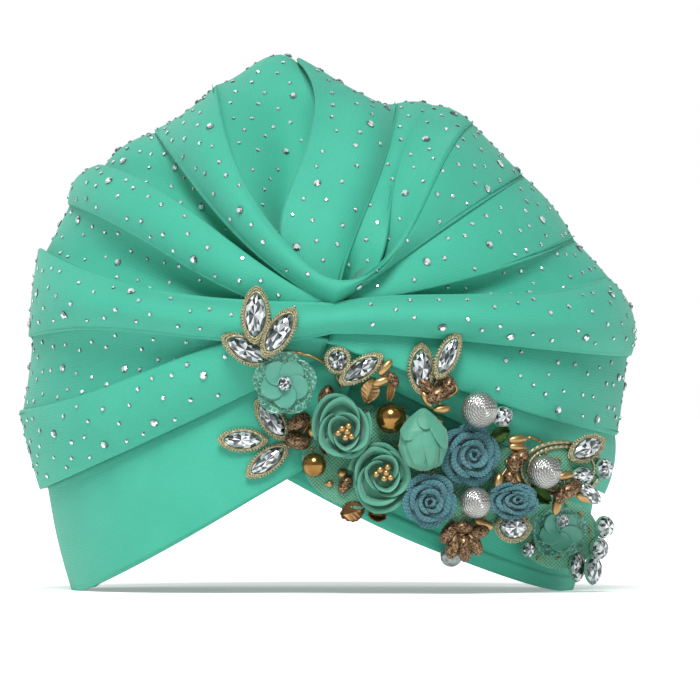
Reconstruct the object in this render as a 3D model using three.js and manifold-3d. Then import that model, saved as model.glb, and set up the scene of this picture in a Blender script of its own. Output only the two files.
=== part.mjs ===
// A jewelled turban hat, standing on its rim as it would on a shelf.
// Millimetres, +Z up, the front towards -Y, the origin on the shelf under the middle of the hat.
import * as THREE from "three";
import { mergeVertices } from "three/addons/utils/BufferGeometryUtils.js";
import Module from "manifold-3d";

const wasm = await Module();
wasm.setup();

// Cloth and clearances
const WALL = 2.2; // the knit with its padding
const GAP = 0.35; // clear space between neighbouring pieces
const SETBACK = 10.8; // the head's axis lies this far behind the origin
const QUARTER = Math.PI / 2;

// The folds start at these points of the front centre line, from the knot down to the bands
const HUBS = {
  knot: { x: 2, y: -110, z: 99 },
  roll: { x: 1.5, y: -113, z: 90.5 },
  pinch: { x: 0, y: -111, z: 87 },
  band: { x: -1.5, y: -105, z: 82 },
};

// One row for each fold, clockwise from the lower left as seen from the front.
// A fold runs from its hub through two points of its own to the outline of the hat (x3, z3).
// over: the pleat that lies on top, 1 for the one after the fold and -1 for the one before it.
// step: how far that pleat stands above its neighbour.
// face and edge: how far the pleat after the fold swells on the face and at the outline.
const FOLD_COLUMNS = ["hub", "x1", "z1", "x2", "z2", "x3", "z3", "over", "step", "face", "edge"];
const FOLDS = [
  ["band", -33.5, 66, -66.5, 50.5, -101, 35, 1, 0, 2, 0.4],
  ["pinch", -35, 85.5, -70, 72.5, -107.5, 62.5, -1, 3.5, -1, -0.4],
  ["roll", -34.5, 88, -70, 91.5, -104, 89, 1, 4, 4.5, 0.2],
  ["knot", -31, 100, -66, 105, -100, 118.5, -1, 6.5, -2, 0],
  ["knot", -29, 103, -59, 119.5, -90.5, 135, 1, 2.5, 2.5, 3],
  ["knot", -25, 115, -50.5, 132.5, -80, 147.5, -1, 6.5, -2.5, 2.8],
  ["knot", -21.5, 117.5, -42, 136.5, -60, 160.5, 1, 3.5, 3, -1.5],
  ["knot", -20, 123.5, -33, 150, -39, 176.5, -1, 7.5, -3, 6],
  ["knot", -14, 125, -6.5, 156.5, -8.5, 186.5, 1, 7.5, 5.5, -2.5],
  ["knot", 8.5, 120, 18, 145, 24.5, 171, 1, 1.2, 2.5, 0.5],
  ["knot", 18, 116, 24.5, 143.5, 36.5, 169.5, -1, 4.5, -1.5, 1.4],
  ["knot", 24, 119.5, 36.5, 144, 49.5, 164, 1, 2, 2, 0],
  ["knot", 22.5, 113.5, 45, 129.5, 68.5, 144.5, -1, 2, 1.5, 1.5],
  ["knot", 28.5, 104, 57.5, 111.5, 86, 122.5, -1, 2.5, -2, 0.3],
  ["knot", 34, 101.5, 69, 102.5, 98, 109.5, 1, 6.5, 6.5, 4.6],
  ["roll", 35.5, 89, 70.5, 85.5, 105.5, 82.5, -1, 4, 2, 0.2],
  ["pinch", 35.5, 74, 69, 63, 101, 54.5, -1, 2.5, 2, 1.6],
  ["band", 31, 66, 63.5, 50, 97, 33.5, -1, 0, 0, 0],
].map((row) => Object.fromEntries(row.map((value, k) => [FOLD_COLUMNS[k], value])));
const PLEATS = FOLDS.length - 1;

// How the pleats rise and fade: 0 at the knot, 1 at the outline, 2 at the lower edge of the back
const RISE = [0.12, 0.42];
const STEP_FADE = [0.45, 1.35];
const SWELL_TURN = [0.55, 1];
const SWELL_FADE = [1.1, 1.9];
const LAP = 0.55; // share of a step by which the pleat below is tucked under
const MAX_LAP = 0.35; // share of the upper pleat that may lie over a tuck
const TUCK_MARGIN = 1.5; // the inside keeps this far from the end of a tuck
const FRONT_ROWS = 9;
const BACK_ROWS = 6;
const PLEAT_COLUMNS = [0, 0.15, 0.5, 0.85, 1];

// The rounded form that the pleats are raised from, and where its outline and back edge lie
const DOME = { x: -1, y: -10, z: 85, halfWidth: 105, halfDepth: 108, height: 102 };
const OUTLINE = { lowZ: 35, lowY: -2, topZ: 185, topY: -24 };
const BACK = { x: -2, halfWidth: 98.5, depth: 100, sideZ: 34, rise: 40, foldsFrom: 12 };
const CAP_Z = 60; // middle of the flat that closes the crown before it is hollowed out
const HOLLOW_Z = -60; // the hollow is cut down to here, below the rim

// The roll of cloth that wraps the knot: points of its middle line with half widths
const KNOT_ROLL = [
  { x: -13, z: 114, half: 0.8 },
  { x: -7, z: 107.5, half: 2.6 },
  { x: 2, z: 103.5, half: 3.4 },
  { x: 12, z: 106, half: 2.8 },
  { x: 20, z: 113, half: 0.8 },
];
const KNOT_ROLL_STATIONS = 9;
const KNOT_ROLL_SIDES = 8;
const KNOT_ROLL_DEPTH = 1.2; // its depth as a share of its width
const KNOT_ROLL_SINK = 2.4; // it is sewn into the pleats by this much

// Bands: the rim stands flat at both sides and rises to a point in front and to a curve behind
const BAND_SIDES = [
  { name: "band_left", fold: 0, cornerX: -90, sag: 1.07, under: 0 },
  { name: "band_right", fold: PLEATS, cornerX: 86, sag: 1.25, under: WALL + 3 },
];
const RIM = { front: 99, back: 95 };
const RIM_POINT = { x: -14, z: 39.5, flatFrom: 0.95 };
const RIM_ARCH = { z: 42, round: 1.5, flatFrom: 0.93 };
const BAND_CROSS = 10; // degrees by which each band runs past the front centre
const BAND_UNDER_FADE = [14, 42]; // degrees over which the lower band comes out from under the other
const BAND_CLEAR = 0.6; // clear space between a band and the crown over it
const BAND_TUCK = 5; // how far a band reaches up inside the crown
const BAND_BULGE = 0.8;
const BAND_BACK = { inset: 1.8, from: 80, to: 130 }; // behind, a band keeps further in, clear of the chords
const BAND_STEP = 7.5; // degrees between sections
const SEAM_GAP_ANGLE = 0.12; // degrees, half the gap at the back seam

// Corsage: the pieces lean outwards with the side of the head
const LEAN = { angle: THREE.MathUtils.degToRad(38), atX: 95 };
const SETTLE = { from: -190, to: -20, stride: 3, halvings: 7 };

const COLOURS = {
  mint: { color: 0x5cc8ab, roughness: 0.8, metalness: 0 },
  lace: { color: 0x6f7a68, roughness: 0.8, metalness: 0 },
  crystal: { color: 0xd8e2e0, roughness: 0.05, metalness: 0 },
  petal: { color: 0x8fc4b4, roughness: 0.3, metalness: 0 },
  gold: { color: 0xb08a45, roughness: 0.3, metalness: 0.9 },
  bronze: { color: 0x80684f, roughness: 0.5, metalness: 0.5 },
  silver: { color: 0xd9d9d4, roughness: 0.3, metalness: 0.6 },
  rose: { color: 0x86b8a6, roughness: 0.7, metalness: 0 },
  blue: { color: 0x5a8a95, roughness: 0.7, metalness: 0 },
  green: { color: 0x35502c, roughness: 0.6, metalness: 0 },
};

// Backings of the corsage: flat ovals of corded lace
const BACKINGS = [
  { name: "lace_centre", x: 14, z: 47, width: 46, height: 36 },
  { name: "lace_right", x: 51, z: 38, width: 40, height: 30 },
  { name: "wing_upper", x: 80, z: 43, width: 34, height: 19 },
  { name: "wing_lower", x: 80, z: 20, width: 32, height: 24 },
];
const LACE_THICKNESS = 1.2;
const LACE_SIDES = 16;

// Cut stones: point 2 is boat-shaped and 1 is round, roll is in degrees from level
const CRYSTALS = [
  { name: "crystal_knot_1", x: -24.5, z: 96, length: 13.5, width: 6.5, point: 2, roll: 88 },
  { name: "crystal_knot_2", x: -16.5, z: 90, length: 13.5, width: 6, point: 2, roll: 57 },
  { name: "crystal_knot_3", x: -27.5, z: 84, length: 13.5, width: 6, point: 2, roll: -28 },
  { name: "crystal_band_1", x: -29, z: 53, length: 12, width: 5.2, point: 2, roll: 0 },
  { name: "crystal_band_2", x: -19, z: 60, length: 12, width: 5.5, point: 2, roll: -52 },
  { name: "crystal_band_3", x: -20.5, z: 46, length: 12.5, width: 5.2, point: 2, roll: 37 },
  { name: "crystal_centre_1", x: 3.5, z: 80.5, length: 6, width: 6, point: 1, roll: 0 },
  { name: "crystal_centre_2", x: 11.5, z: 77.5, length: 12, width: 5, point: 2, roll: 33 },
  { name: "crystal_roll_1", x: 32, z: 77.5, length: 12, width: 6.2, point: 2, roll: 90 },
  { name: "crystal_roll_2", x: 41, z: 82, length: 12, width: 5, point: 2, roll: 64 },
  { name: "crystal_wing_1", x: 89, z: 50, length: 11.5, width: 5.8, point: 2, roll: 20 },
  { name: "crystal_wing_2", x: 95, z: 43, length: 6, width: 6, point: 1, roll: 0 },
  { name: "crystal_wing_3", x: 87.5, z: 40.5, length: 8.5, width: 5, point: 2, roll: 0 },
  { name: "crystal_wing_4", x: 90, z: 34.5, length: 10, width: 4.5, point: 2, roll: -35 },
  { name: "crystal_tip_1", x: 95.5, z: 22.5, length: 6.5, width: 6.5, point: 1, roll: 0 },
  { name: "crystal_tip_2", x: 93, z: 14, length: 7, width: 7, point: 1, roll: 0 },
  { name: "crystal_tip_3", x: 85.5, z: 9.5, length: 11, width: 4.6, point: 2, roll: 90 },
  { name: "crystal_tip_4", x: 91.5, z: 9, length: 11, width: 5, point: 2, roll: 90 },
  { name: "crystal_pear", x: 63.5, z: 23, length: 9.5, width: 6.8, point: 1.5, roll: 0 },
  { name: "crystal_small", x: 69, z: 15, length: 4.6, width: 4.6, point: 1, roll: 0 },
  { name: "crystal_leaf", x: 60, z: 61, length: 7, width: 6, point: 1.5, roll: 60 },
];
const CRYSTAL_SIDES = 8;
const CRYSTAL_HEIGHT = 0.42; // of the width
const SETTING = { scale: 1.36, height: 1.1 };
const GIRDLE_SHARE = 0.3; // of the stone's height
const TABLE_SHARE = 0.55; // of the stone's outline

const FLOWERS = [
  { name: "sequin_flower_1", x: -14.5, z: 72.5, width: 21, height: 21, stone: 5 },
  { name: "sequin_flower_2", x: 79.5, z: 21, width: 22, height: 17, stone: 5 },
];
const FLOWER = { petals: 5, rings: 3, depth: 3.2, notch: 0.16, hollow: 0.55, stoneFoot: 0.5 };

const LEAVES = [
  { name: "leaf_gold_1", x: 14.5, z: 70, length: 8.5, width: 6.5, roll: 70, colour: "gold" },
  { name: "leaf_gold_2", x: 21.5, z: 70, length: 7, width: 2.6, roll: 80, colour: "gold" },
  { name: "leaf_bronze_1", x: 8.5, z: 28.5, length: 8.5, width: 7, roll: 20, colour: "bronze" },
  { name: "leaf_bronze_2", x: 17, z: 27, length: 6, width: 4, roll: -10, colour: "bronze" },
  { name: "leaf_green_1", x: 58.5, z: 54.5, length: 9, width: 5, roll: 30, colour: "green" },
  { name: "leaf_green_2", x: 73, z: 34, length: 9, width: 5, roll: -35, colour: "green" },
  { name: "leaf_glitter", x: 39, z: 71.5, length: 9.5, width: 5.5, roll: 75, colour: "bronze" },
];
const LEAF = { thickness: 1, fold: 1.2, columns: 5, tip: 0.06, fullness: 0.8 };

// Sprays: pods and pips along short stems from the middle of the spray
const SPRAYS = [
  {
    name: "spray_left", x: -6.5, z: 58.5,
    pods: [
      { x: 5.5, y: 9.5, length: 6.5, width: 4.4, roll: 60 },
      { x: -3, y: 1, length: 6, width: 4.4, roll: 15 },
      { x: -3.5, y: -6, length: 5.5, width: 4, roll: -20 },
    ],
  },
  {
    name: "spray_upper", x: 38, z: 66.5,
    pods: [
      { x: -1, y: 1.5, length: 7, width: 5, roll: 40 },
      { x: 0.8, y: -3, length: 6.5, width: 2.6, roll: 10 },
    ],
  },
  {
    name: "spray_top", x: 19, z: 75.5,
    pods: [
      { x: 1, y: 2.3, length: 7, width: 2.6, roll: 40 },
      { x: -0.8, y: -2.2, length: 6.5, width: 2.6, roll: 20 },
    ],
  },
  {
    name: "spray_lower", x: 46, z: 20.5,
    pods: [
      { x: -4.5, y: 2, length: 8.5, width: 5.5, roll: 70 },
      { x: 2, y: -3.5, length: 8.5, width: 5.5, roll: 10 },
      { x: 4.5, y: 3, length: 7.5, width: 3, roll: 40 },
    ],
  },
  {
    name: "spray_right_1", x: 63, z: 45.5,
    pods: [
      { x: 1, y: 1, length: 8, width: 5, roll: 20 },
      { x: 2.5, y: 6, length: 6.5, width: 2.6, roll: 10 },
      { x: 1.5, y: -4.5, length: 6.5, width: 2.6, roll: -10 },
      { x: -4.5, y: -5, length: 6.5, width: 2.6, roll: 85 },
    ],
  },
  {
    name: "spray_right_2", x: 81.5, z: 35,
    pods: [
      { x: 0.5, y: 0.5, length: 8.5, width: 5.5, roll: 15 },
      { x: -1, y: 5.5, length: 6.5, width: 2.6, roll: 5 },
      { x: -4.5, y: -4, length: 6.5, width: 2.6, roll: 80 },
    ],
  },
];
const STEM = { width: 1.2, rise: 1 };
const POD_SIDES = [7, 5];

const ROSES = [
  { name: "rose_mint_1", x: 4.5, z: 58.5, width: 18.5, height: 21.5, depth: 8, colour: "rose" },
  { name: "rose_mint_2", x: 17, z: 39.5, width: 20.5, height: 21, depth: 8, colour: "rose" },
  { name: "rose_blue_1", x: 47.5, z: 48, width: 20.5, height: 20.5, depth: 8, colour: "blue" },
  { name: "rose_blue_2", x: 34.5, z: 32.5, width: 18, height: 18, depth: 7.5, colour: "blue" },
  { name: "rose_blue_3", x: 62.5, z: 32, width: 18.5, height: 12, depth: 6.5, colour: "blue" },
];
const ROSE = { rings: 5, sides: 14, lobes: 5, lobeDepth: 0.06, turns: 2.2, ridge: 0.14, fall: 0.5 };

// The bud's profile from its base up to its neck: y along it, r its radius
const BUD = { name: "rose_mint_bud", x: 31.5, z: 53, flatten: 0.8, sides: 10, lobes: 5, lobeDepth: 0.08 };
const BUD_PROFILE = [
  { y: -10.5, r: 2.5 },
  { y: -8.5, r: 7 },
  { y: -2.5, r: 9.2 },
  { y: 3.5, r: 8.4 },
  { y: 8, r: 4.6 },
  { y: 10.5, r: 2.2 },
];

const BALLS = [
  { name: "ball_gold_1", x: 21, z: 60.5, diameter: 10.5, colour: "gold" },
  { name: "ball_gold_2", x: -4.5, z: 44.5, diameter: 8.4, colour: "gold" },
  { name: "pearl_1", x: 50, z: 63.5, diameter: 12.5, colour: "silver" },
  { name: "pearl_2", x: 72, z: 42, diameter: 11.5, colour: "silver" },
  { name: "pearl_3", x: 49, z: 31.5, diameter: 10.8, colour: "silver" },
  { name: "ball_glass", x: 41.5, z: 13, diameter: 7.6, colour: "crystal" },
];
const BALL_SIDES = [12, 7];

// Closed meshes

function meshFrom(points, triangles) {
  const flat = points.flatMap((point) => [point.x, point.y, point.z]);
  const geometry = new THREE.BufferGeometry();
  geometry.setAttribute("position", new THREE.Float32BufferAttribute(flat, 3));
  geometry.setIndex(triangles);
  return outwardFaces(withoutSlivers(mergeVertices(geometry)));
}

// Triangles that a shared hub has closed up are left out
function withoutSlivers(geometry) {
  const index = geometry.index.array;
  const kept = [];
  for (let k = 0; k < index.length; k += 3) {
    const [a, b, c] = index.slice(k, k + 3);
    if (a !== b && b !== c && c !== a) kept.push(a, b, c);
  }
  geometry.setIndex(kept);
  return geometry;
}

function outwardFaces(geometry) {
  const index = geometry.index.array;
  const spot = (k) => new THREE.Vector3().fromBufferAttribute(geometry.attributes.position, index[k]);
  let volume = 0;
  for (let k = 0; k < index.length; k += 3) volume += spot(k).dot(spot(k + 1).cross(spot(k + 2)));
  if (volume < 0) geometry.setIndex(Array.from(index).reverse());
  return geometry;
}

// A stack of outlines with the same number of points, closed at both ends
function stackRings(rings) {
  const sides = rings[0].length;
  const triangles = [];
  for (let k = 0; k + 1 < rings.length; k += 1) {
    for (let s = 0; s < sides; s += 1) {
      const a = k * sides + s;
      const b = k * sides + ((s + 1) % sides);
      triangles.push(a, b, b + sides, a, b + sides, a + sides);
    }
  }
  const last = (rings.length - 1) * sides;
  for (let s = 1; s + 1 < sides; s += 1) {
    triangles.push(0, s + 1, s);
    triangles.push(last, last + s, last + s + 1);
  }
  return meshFrom(rings.flat(), triangles);
}

// A sheet with a top and an underside given as grids of points
function sheetSolid(top, under) {
  const rings = top.map((row, k) => [...row, ...[...under[k]].reverse()]);
  return stackRings(rings);
}

function solidOf(geometry) {
  const plain = new THREE.BufferGeometry();
  plain.setAttribute("position", geometry.attributes.position.clone());
  plain.setIndex(geometry.index ? geometry.index.clone() : null);
  const merged = withoutSlivers(mergeVertices(plain));
  return new wasm.Manifold(new wasm.Mesh({
    numProp: 3,
    vertProperties: new Float32Array(merged.attributes.position.array),
    triVerts: new Uint32Array(merged.index.array),
  }));
}

function geometryOf(solid) {
  const mesh = solid.getMesh();
  const geometry = new THREE.BufferGeometry();
  geometry.setAttribute("position", new THREE.Float32BufferAttribute(mesh.vertProperties, 3));
  geometry.setIndex(Array.from(mesh.triVerts));
  return geometry;
}

function fuse(geometries) {
  return geometryOf(geometries.map(solidOf).reduce((sum, solid) => sum.add(solid)));
}

// Crown

const smooth = (value, [from, to]) => THREE.MathUtils.smoothstep(value, from, to);

function outward(point) {
  const up = Math.max(0, point.z - DOME.z) / DOME.height ** 2;
  const across = (point.x - DOME.x) / DOME.halfWidth ** 2;
  return new THREE.Vector3(across, (point.y - DOME.y) / DOME.halfDepth ** 2, up).normalize();
}

// The cubic through a fold's four points, evenly spaced in its parameter
function foldFace(fold, share) {
  const hub = HUBS[fold.hub];
  const weights = [
    (1 - 3 * share) * (1 - 1.5 * share) * (1 - share),
    9 * share * (1 - 1.5 * share) * (1 - share),
    -4.5 * share * (1 - 3 * share) * (1 - share),
    share * (1 - 3 * share) * (1 - 1.5 * share),
  ];
  const along = (values) => values.reduce((sum, value, k) => sum + weights[k] * value, 0);
  return {
    x: along([hub.x, fold.x1, fold.x2, fold.x3]),
    z: along([hub.z, fold.z1, fold.z2, fold.z3]),
  };
}

function outlineDepth(z) {
  const share = THREE.MathUtils.inverseLerp(OUTLINE.lowZ, OUTLINE.topZ, z);
  return THREE.MathUtils.lerp(OUTLINE.lowY, OUTLINE.topY, share);
}

// The lower edge of the crown behind the head, by the angle from the right side
function backEdge(angle) {
  const x = BACK.x + BACK.halfWidth * Math.cos(angle);
  return new THREE.Vector3(x, BACK.depth * Math.sin(angle), BACK.sideZ + BACK.rise * Math.sin(angle) ** 2);
}

// The folds reach the back edge spaced as they are along the outline
const outlineRuns = FOLDS.map((fold, k) => {
  const before = FOLDS[Math.max(0, k - 1)];
  return Math.hypot(fold.x3 - before.x3, fold.z3 - before.z3);
});
const outlineLength = outlineRuns.reduce((sum, run) => sum + run, 0);
const BACK_ANGLES = FOLDS.map((fold, k) => {
  const share = outlineRuns.slice(0, k + 1).reduce((sum, run) => sum + run, 0) / outlineLength;
  return THREE.MathUtils.degToRad(THREE.MathUtils.lerp(180 - BACK.foldsFrom, BACK.foldsFrom, share));
});

// A point of fold k on the rounded form: 0 at its hub, 1 at the outline, 2 at the back edge
function foldPoint(k, along) {
  const fold = FOLDS[k];
  const hub = HUBS[fold.hub];
  const sideY = outlineDepth(fold.z3);
  if (along <= 1) {
    const { x, z } = foldFace(fold, Math.sin(along * QUARTER));
    return new THREE.Vector3(x, hub.y + (sideY - hub.y) * (1 - Math.cos(along * QUARTER)), z);
  }
  const turn = (along - 1) * QUARTER;
  const seat = backEdge(BACK_ANGLES[k]);
  const left = Math.cos(turn);
  return new THREE.Vector3(
    seat.x + (fold.x3 - seat.x) * left,
    sideY + (seat.y - sideY) * Math.sin(turn),
    seat.z + (fold.z3 - seat.z) * left,
  );
}

const stepScale = (along) => smooth(along, RISE) * (1 - smooth(along, STEP_FADE));
const isOver = (k, pleat) => (FOLDS[k].over > 0) === (pleat === k);

// Height of a pleat above the rounded form, at a share of the way across it
function pleatLift(pleat, share, along) {
  const [left, right] = [FOLDS[pleat], FOLDS[pleat + 1]];
  const from = (isOver(pleat, pleat) ? 0.5 : -0.5) * left.step;
  const to = (isOver(pleat + 1, pleat) ? 0.5 : -0.5) * right.step;
  const swell = THREE.MathUtils.lerp(left.face, left.edge, smooth(along, SWELL_TURN));
  const swellScale = smooth(along, RISE) * (1 - smooth(along, SWELL_FADE));
  const slope = THREE.MathUtils.lerp(from, to, share);
  return stepScale(along) * slope + swellScale * swell * 4 * share * (1 - share);
}

// A point that lies under the pleat on top of fold k, past the fold by a length
function underFold(k, past, along) {
  const start = foldPoint(k, along);
  const toward = foldPoint(k + FOLDS[k].over, along);
  const width = start.distanceTo(toward);
  const share = width > 0 ? Math.min(MAX_LAP, past / width) : 0;
  return start.lerp(toward, share);
}

function pleatPoint(pleat, share, along) {
  const fold = share === 0 ? pleat : pleat + 1;
  const tucked = (share === 0 || share === 1) && FOLDS[fold].step > 0 && !isOver(fold, pleat);
  const base = tucked
    ? underFold(fold, LAP * FOLDS[fold].step * stepScale(along), along)
    : foldPoint(pleat, along).lerp(foldPoint(pleat + 1, along), share);
  return base.addScaledVector(outward(base), pleatLift(pleat, share, along));
}

// The hollow follows the pleats one wall further in, and stays clear of every tuck
function hollowFoldPoint(k, along) {
  const { step } = FOLDS[k];
  const base = step > 0
    ? underFold(k, (LAP * step + TUCK_MARGIN) * stepScale(along), along)
    : foldPoint(k, along);
  return base.addScaledVector(outward(base), -WALL - 0.5 * step * stepScale(along));
}

function hollowMiddle(pleat, along) {
  const base = foldPoint(pleat, along).lerp(foldPoint(pleat + 1, along), 0.5);
  return base.addScaledVector(outward(base), pleatLift(pleat, 0.5, along) - WALL);
}

const ROWS = [
  ...Array.from({ length: FRONT_ROWS }, (_, k) => k / FRONT_ROWS),
  ...Array.from({ length: BACK_ROWS + 1 }, (_, k) => 1 + k / BACK_ROWS),
];

// A domed sheet of columns, closed below by a rim of points and a middle
function domeSolid(columns, rimOf, middle) {
  const rows = columns[0].length;
  const points = columns.flat();
  const triangles = [];
  for (let c = 0; c + 1 < columns.length; c += 1) {
    for (let r = 0; r + 1 < rows; r += 1) {
      const a = c * rows + r;
      triangles.push(a, a + rows, a + rows + 1, a, a + rows + 1, a + 1);
    }
  }
  const last = columns.length - 1;
  const edge = [
    ...columns[0].map((_, r) => r),
    ...columns.slice(1).map((_, c) => (c + 1) * rows + rows - 1),
    ...columns[last].slice(1).map((_, r) => last * rows + rows - 2 - r),
  ];
  const rim = edge.map((k) => points.push(rimOf(points[k])) - 1);
  const centre = points.push(middle) - 1;
  for (let k = 0; k + 1 < edge.length; k += 1) {
    triangles.push(edge[k], edge[k + 1], rim[k + 1], edge[k], rim[k + 1], rim[k]);
    triangles.push(rim[k], rim[k + 1], centre);
  }
  return meshFrom(points, triangles);
}

function frontOf(geometry, x, z) {
  const caster = new THREE.Raycaster(new THREE.Vector3(x, SETTLE.from, z), new THREE.Vector3(0, 1, 0));
  return caster.intersectObject(new THREE.Mesh(geometry))[0].point.y;
}

function knotRoll(crown) {
  const path = new THREE.CatmullRomCurve3(KNOT_ROLL.map(({ x, z, half }) => {
    return new THREE.Vector3(x, frontOf(crown, x, z) - KNOT_ROLL_DEPTH * half + KNOT_ROLL_SINK, z);
  }));
  const widths = new THREE.CatmullRomCurve3(KNOT_ROLL.map(({ half }) => new THREE.Vector3(half, 0, 0)));
  const rings = Array.from({ length: KNOT_ROLL_STATIONS }, (_, k) => {
    const share = k / (KNOT_ROLL_STATIONS - 1);
    const centre = path.getPoint(share);
    const run = path.getTangent(share);
    const across = new THREE.Vector3(-run.z, 0, run.x).normalize();
    const half = widths.getPoint(share).x;
    return Array.from({ length: KNOT_ROLL_SIDES }, (_unused, s) => {
      const angle = (2 * Math.PI * s) / KNOT_ROLL_SIDES;
      const point = centre.clone().addScaledVector(across, half * Math.cos(angle));
      point.y += half * KNOT_ROLL_DEPTH * Math.sin(angle);
      return point;
    });
  });
  return stackRings(rings);
}

function crownGeometry() {
  const columns = [];
  const hollow = [];
  for (let pleat = 0; pleat < PLEATS; pleat += 1) {
    PLEAT_COLUMNS.forEach((share) => columns.push(ROWS.map((row) => pleatPoint(pleat, share, row))));
    hollow.push(ROWS.map((row) => hollowFoldPoint(pleat, row)));
    hollow.push(ROWS.map((row) => hollowMiddle(pleat, row)));
  }
  hollow.push(ROWS.map((row) => hollowFoldPoint(PLEATS, row)));
  const outside = domeSolid(columns, (point) => point.clone(), new THREE.Vector3(0, 0, CAP_Z));
  const sink = (point) => new THREE.Vector3(point.x, point.y, HOLLOW_Z);
  const inside = domeSolid(hollow, sink, new THREE.Vector3(0, 0, HOLLOW_Z));
  return geometryOf(solidOf(outside).subtract(solidOf(inside)).add(solidOf(knotRoll(outside))));
}

// Bands, by the angle round the head: 0 in front, 90 at the side, 180 behind

function bandTop(side, degrees) {
  if (degrees <= 90 + BACK.foldsFrom) {
    const along = degrees <= 90 ? degrees / 90 : 1 + (degrees - 90) / BACK.foldsFrom;
    return foldPoint(side.fold, along);
  }
  const angle = THREE.MathUtils.degToRad(degrees - 90);
  return backEdge(side.fold === 0 ? Math.PI - angle : angle);
}

function bandRim(side, degrees) {
  const angle = THREE.MathUtils.degToRad(degrees);
  const share = Math.sin(angle);
  if (degrees <= 90) {
    const z = RIM_POINT.z * Math.max(0, 1 - share / RIM_POINT.flatFrom) ** side.sag;
    const x = THREE.MathUtils.lerp(RIM_POINT.x, side.cornerX, share);
    return new THREE.Vector3(x, -RIM.front * Math.cos(angle), z);
  }
  const z = RIM_ARCH.z * Math.max(0, 1 - (share / RIM_ARCH.flatFrom) ** RIM_ARCH.round);
  const x = THREE.MathUtils.lerp(BACK.x, side.cornerX, share);
  return new THREE.Vector3(x, -RIM.back * Math.cos(angle), z);
}

function bandGeometry(side) {
  const end = 180 - SEAM_GAP_ANGLE;
  const sections = Math.round((end + BAND_CROSS) / BAND_STEP);
  const outer = [];
  const inner = [];
  for (let k = 0; k <= sections; k += 1) {
    const degrees = THREE.MathUtils.lerp(-BAND_CROSS, end, k / sections);
    const under = side.under * (1 - smooth(degrees, BAND_UNDER_FADE));
    const top = bandTop(side, degrees);
    const normal = outward(new THREE.Vector3(top.x, top.y, 0));
    const inset = BAND_BACK.inset * smooth(degrees, [BAND_BACK.from, BAND_BACK.to]);
    top.addScaledVector(normal, -WALL - BAND_CLEAR - inset);
    const rim = bandRim(side, degrees);
    const tuck = top.clone().addScaledVector(top.clone().sub(rim).normalize(), BAND_TUCK);
    const belly = top.clone().lerp(rim, 0.5).addScaledVector(normal, BAND_BULGE);
    const row = [tuck, top, belly, rim].map((point) => point.clone().addScaledVector(normal, -under));
    outer.push(row);
    inner.push(row.map((point) => point.clone().addScaledVector(normal, -WALL)));
  }
  return sheetSolid(outer, inner);
}

// Corsage pieces, each lying in its own x and y with its foot at z 0 and its face towards +z

function outline(length, width, point, sides) {
  return Array.from({ length: sides }, (_, k) => {
    const angle = (2 * Math.PI * k) / sides;
    const across = Math.sin(angle) * Math.abs(Math.sin(angle)) ** (point - 1);
    return new THREE.Vector3(0.5 * length * Math.cos(angle), 0.5 * width * across, 0);
  });
}

function scaledRing(ring, scale, height) {
  return ring.map(({ x, y }) => new THREE.Vector3(x * scale, y * scale, height));
}

function backingGeometry({ width, height }) {
  const ring = outline(width, height, 1, LACE_SIDES);
  return stackRings([ring, scaledRing(ring, 1, LACE_THICKNESS)]);
}

function crystalGeometry({ length, width, point }) {
  const ring = outline(length, width, point, CRYSTAL_SIDES);
  const height = CRYSTAL_HEIGHT * width;
  return stackRings([
    scaledRing(ring, SETTING.scale, 0),
    scaledRing(ring, SETTING.scale, SETTING.height),
    scaledRing(ring, 1, SETTING.height + GIRDLE_SHARE * height),
    scaledRing(ring, TABLE_SHARE, SETTING.height + height),
  ]);
}

// A round heap over a flat foot, its height and outline given by angle and share of the radius
function heapGeometry(rings, sides, pointAt) {
  const points = [pointAt(0, 0), new THREE.Vector3()];
  const triangles = [];
  const ringAt = (share, flat) => Array.from({ length: sides }, (_, s) => {
    const point = pointAt((2 * Math.PI * s) / sides, share);
    return flat ? point.setZ(0) : point;
  });
  for (let k = 1; k <= rings; k += 1) points.push(...ringAt(k / rings, false));
  points.push(...ringAt(1, true));
  for (let s = 0; s < sides; s += 1) {
    const next = (s + 1) % sides;
    triangles.push(0, 2 + s, 2 + next);
    for (let k = 0; k < rings; k += 1) {
      const a = 2 + k * sides;
      triangles.push(a + s, a + sides + s, a + sides + next, a + s, a + sides + next, a + next);
    }
    const foot = 2 + rings * sides;
    triangles.push(1, foot + next, foot + s);
  }
  return meshFrom(points, triangles);
}

function flowerGeometry({ width, height, stone }) {
  const petals = heapGeometry(FLOWER.rings, 3 * FLOWER.petals, (angle, share) => {
    const lobe = 1 - FLOWER.notch * (1 - Math.abs(Math.cos(0.5 * FLOWER.petals * angle)));
    const x = 0.5 * width * share * lobe * Math.cos(angle);
    const y = 0.5 * height * share * lobe * Math.sin(angle);
    return new THREE.Vector3(x, y, FLOWER.depth * (1 - FLOWER.hollow * (1 - share * share)));
  });
  const ring = outline(stone, stone, 1, CRYSTAL_SIDES);
  const gem = stackRings([
    scaledRing(ring, 1, FLOWER.stoneFoot),
    scaledRing(ring, 1, FLOWER.depth),
    scaledRing(ring, TABLE_SHARE, FLOWER.depth + CRYSTAL_HEIGHT * stone),
  ]);
  return fuse([petals, gem]);
}

function leafGeometry({ length, width }) {
  const top = [];
  const under = [];
  for (let k = 0; k < LEAF.columns; k += 1) {
    const share = THREE.MathUtils.lerp(LEAF.tip, 1 - LEAF.tip, k / (LEAF.columns - 1));
    const half = 0.5 * width * Math.sin(Math.PI * share) ** LEAF.fullness;
    const x = length * (share - 0.5);
    const row = [-half, 0, half].map((y) => new THREE.Vector3(x, y, (LEAF.fold * 2 * Math.abs(y)) / width));
    under.push(row);
    top.push(row.map((point) => new THREE.Vector3(point.x, point.y, point.z + LEAF.thickness)));
  }
  return sheetSolid(top, under);
}

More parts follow.
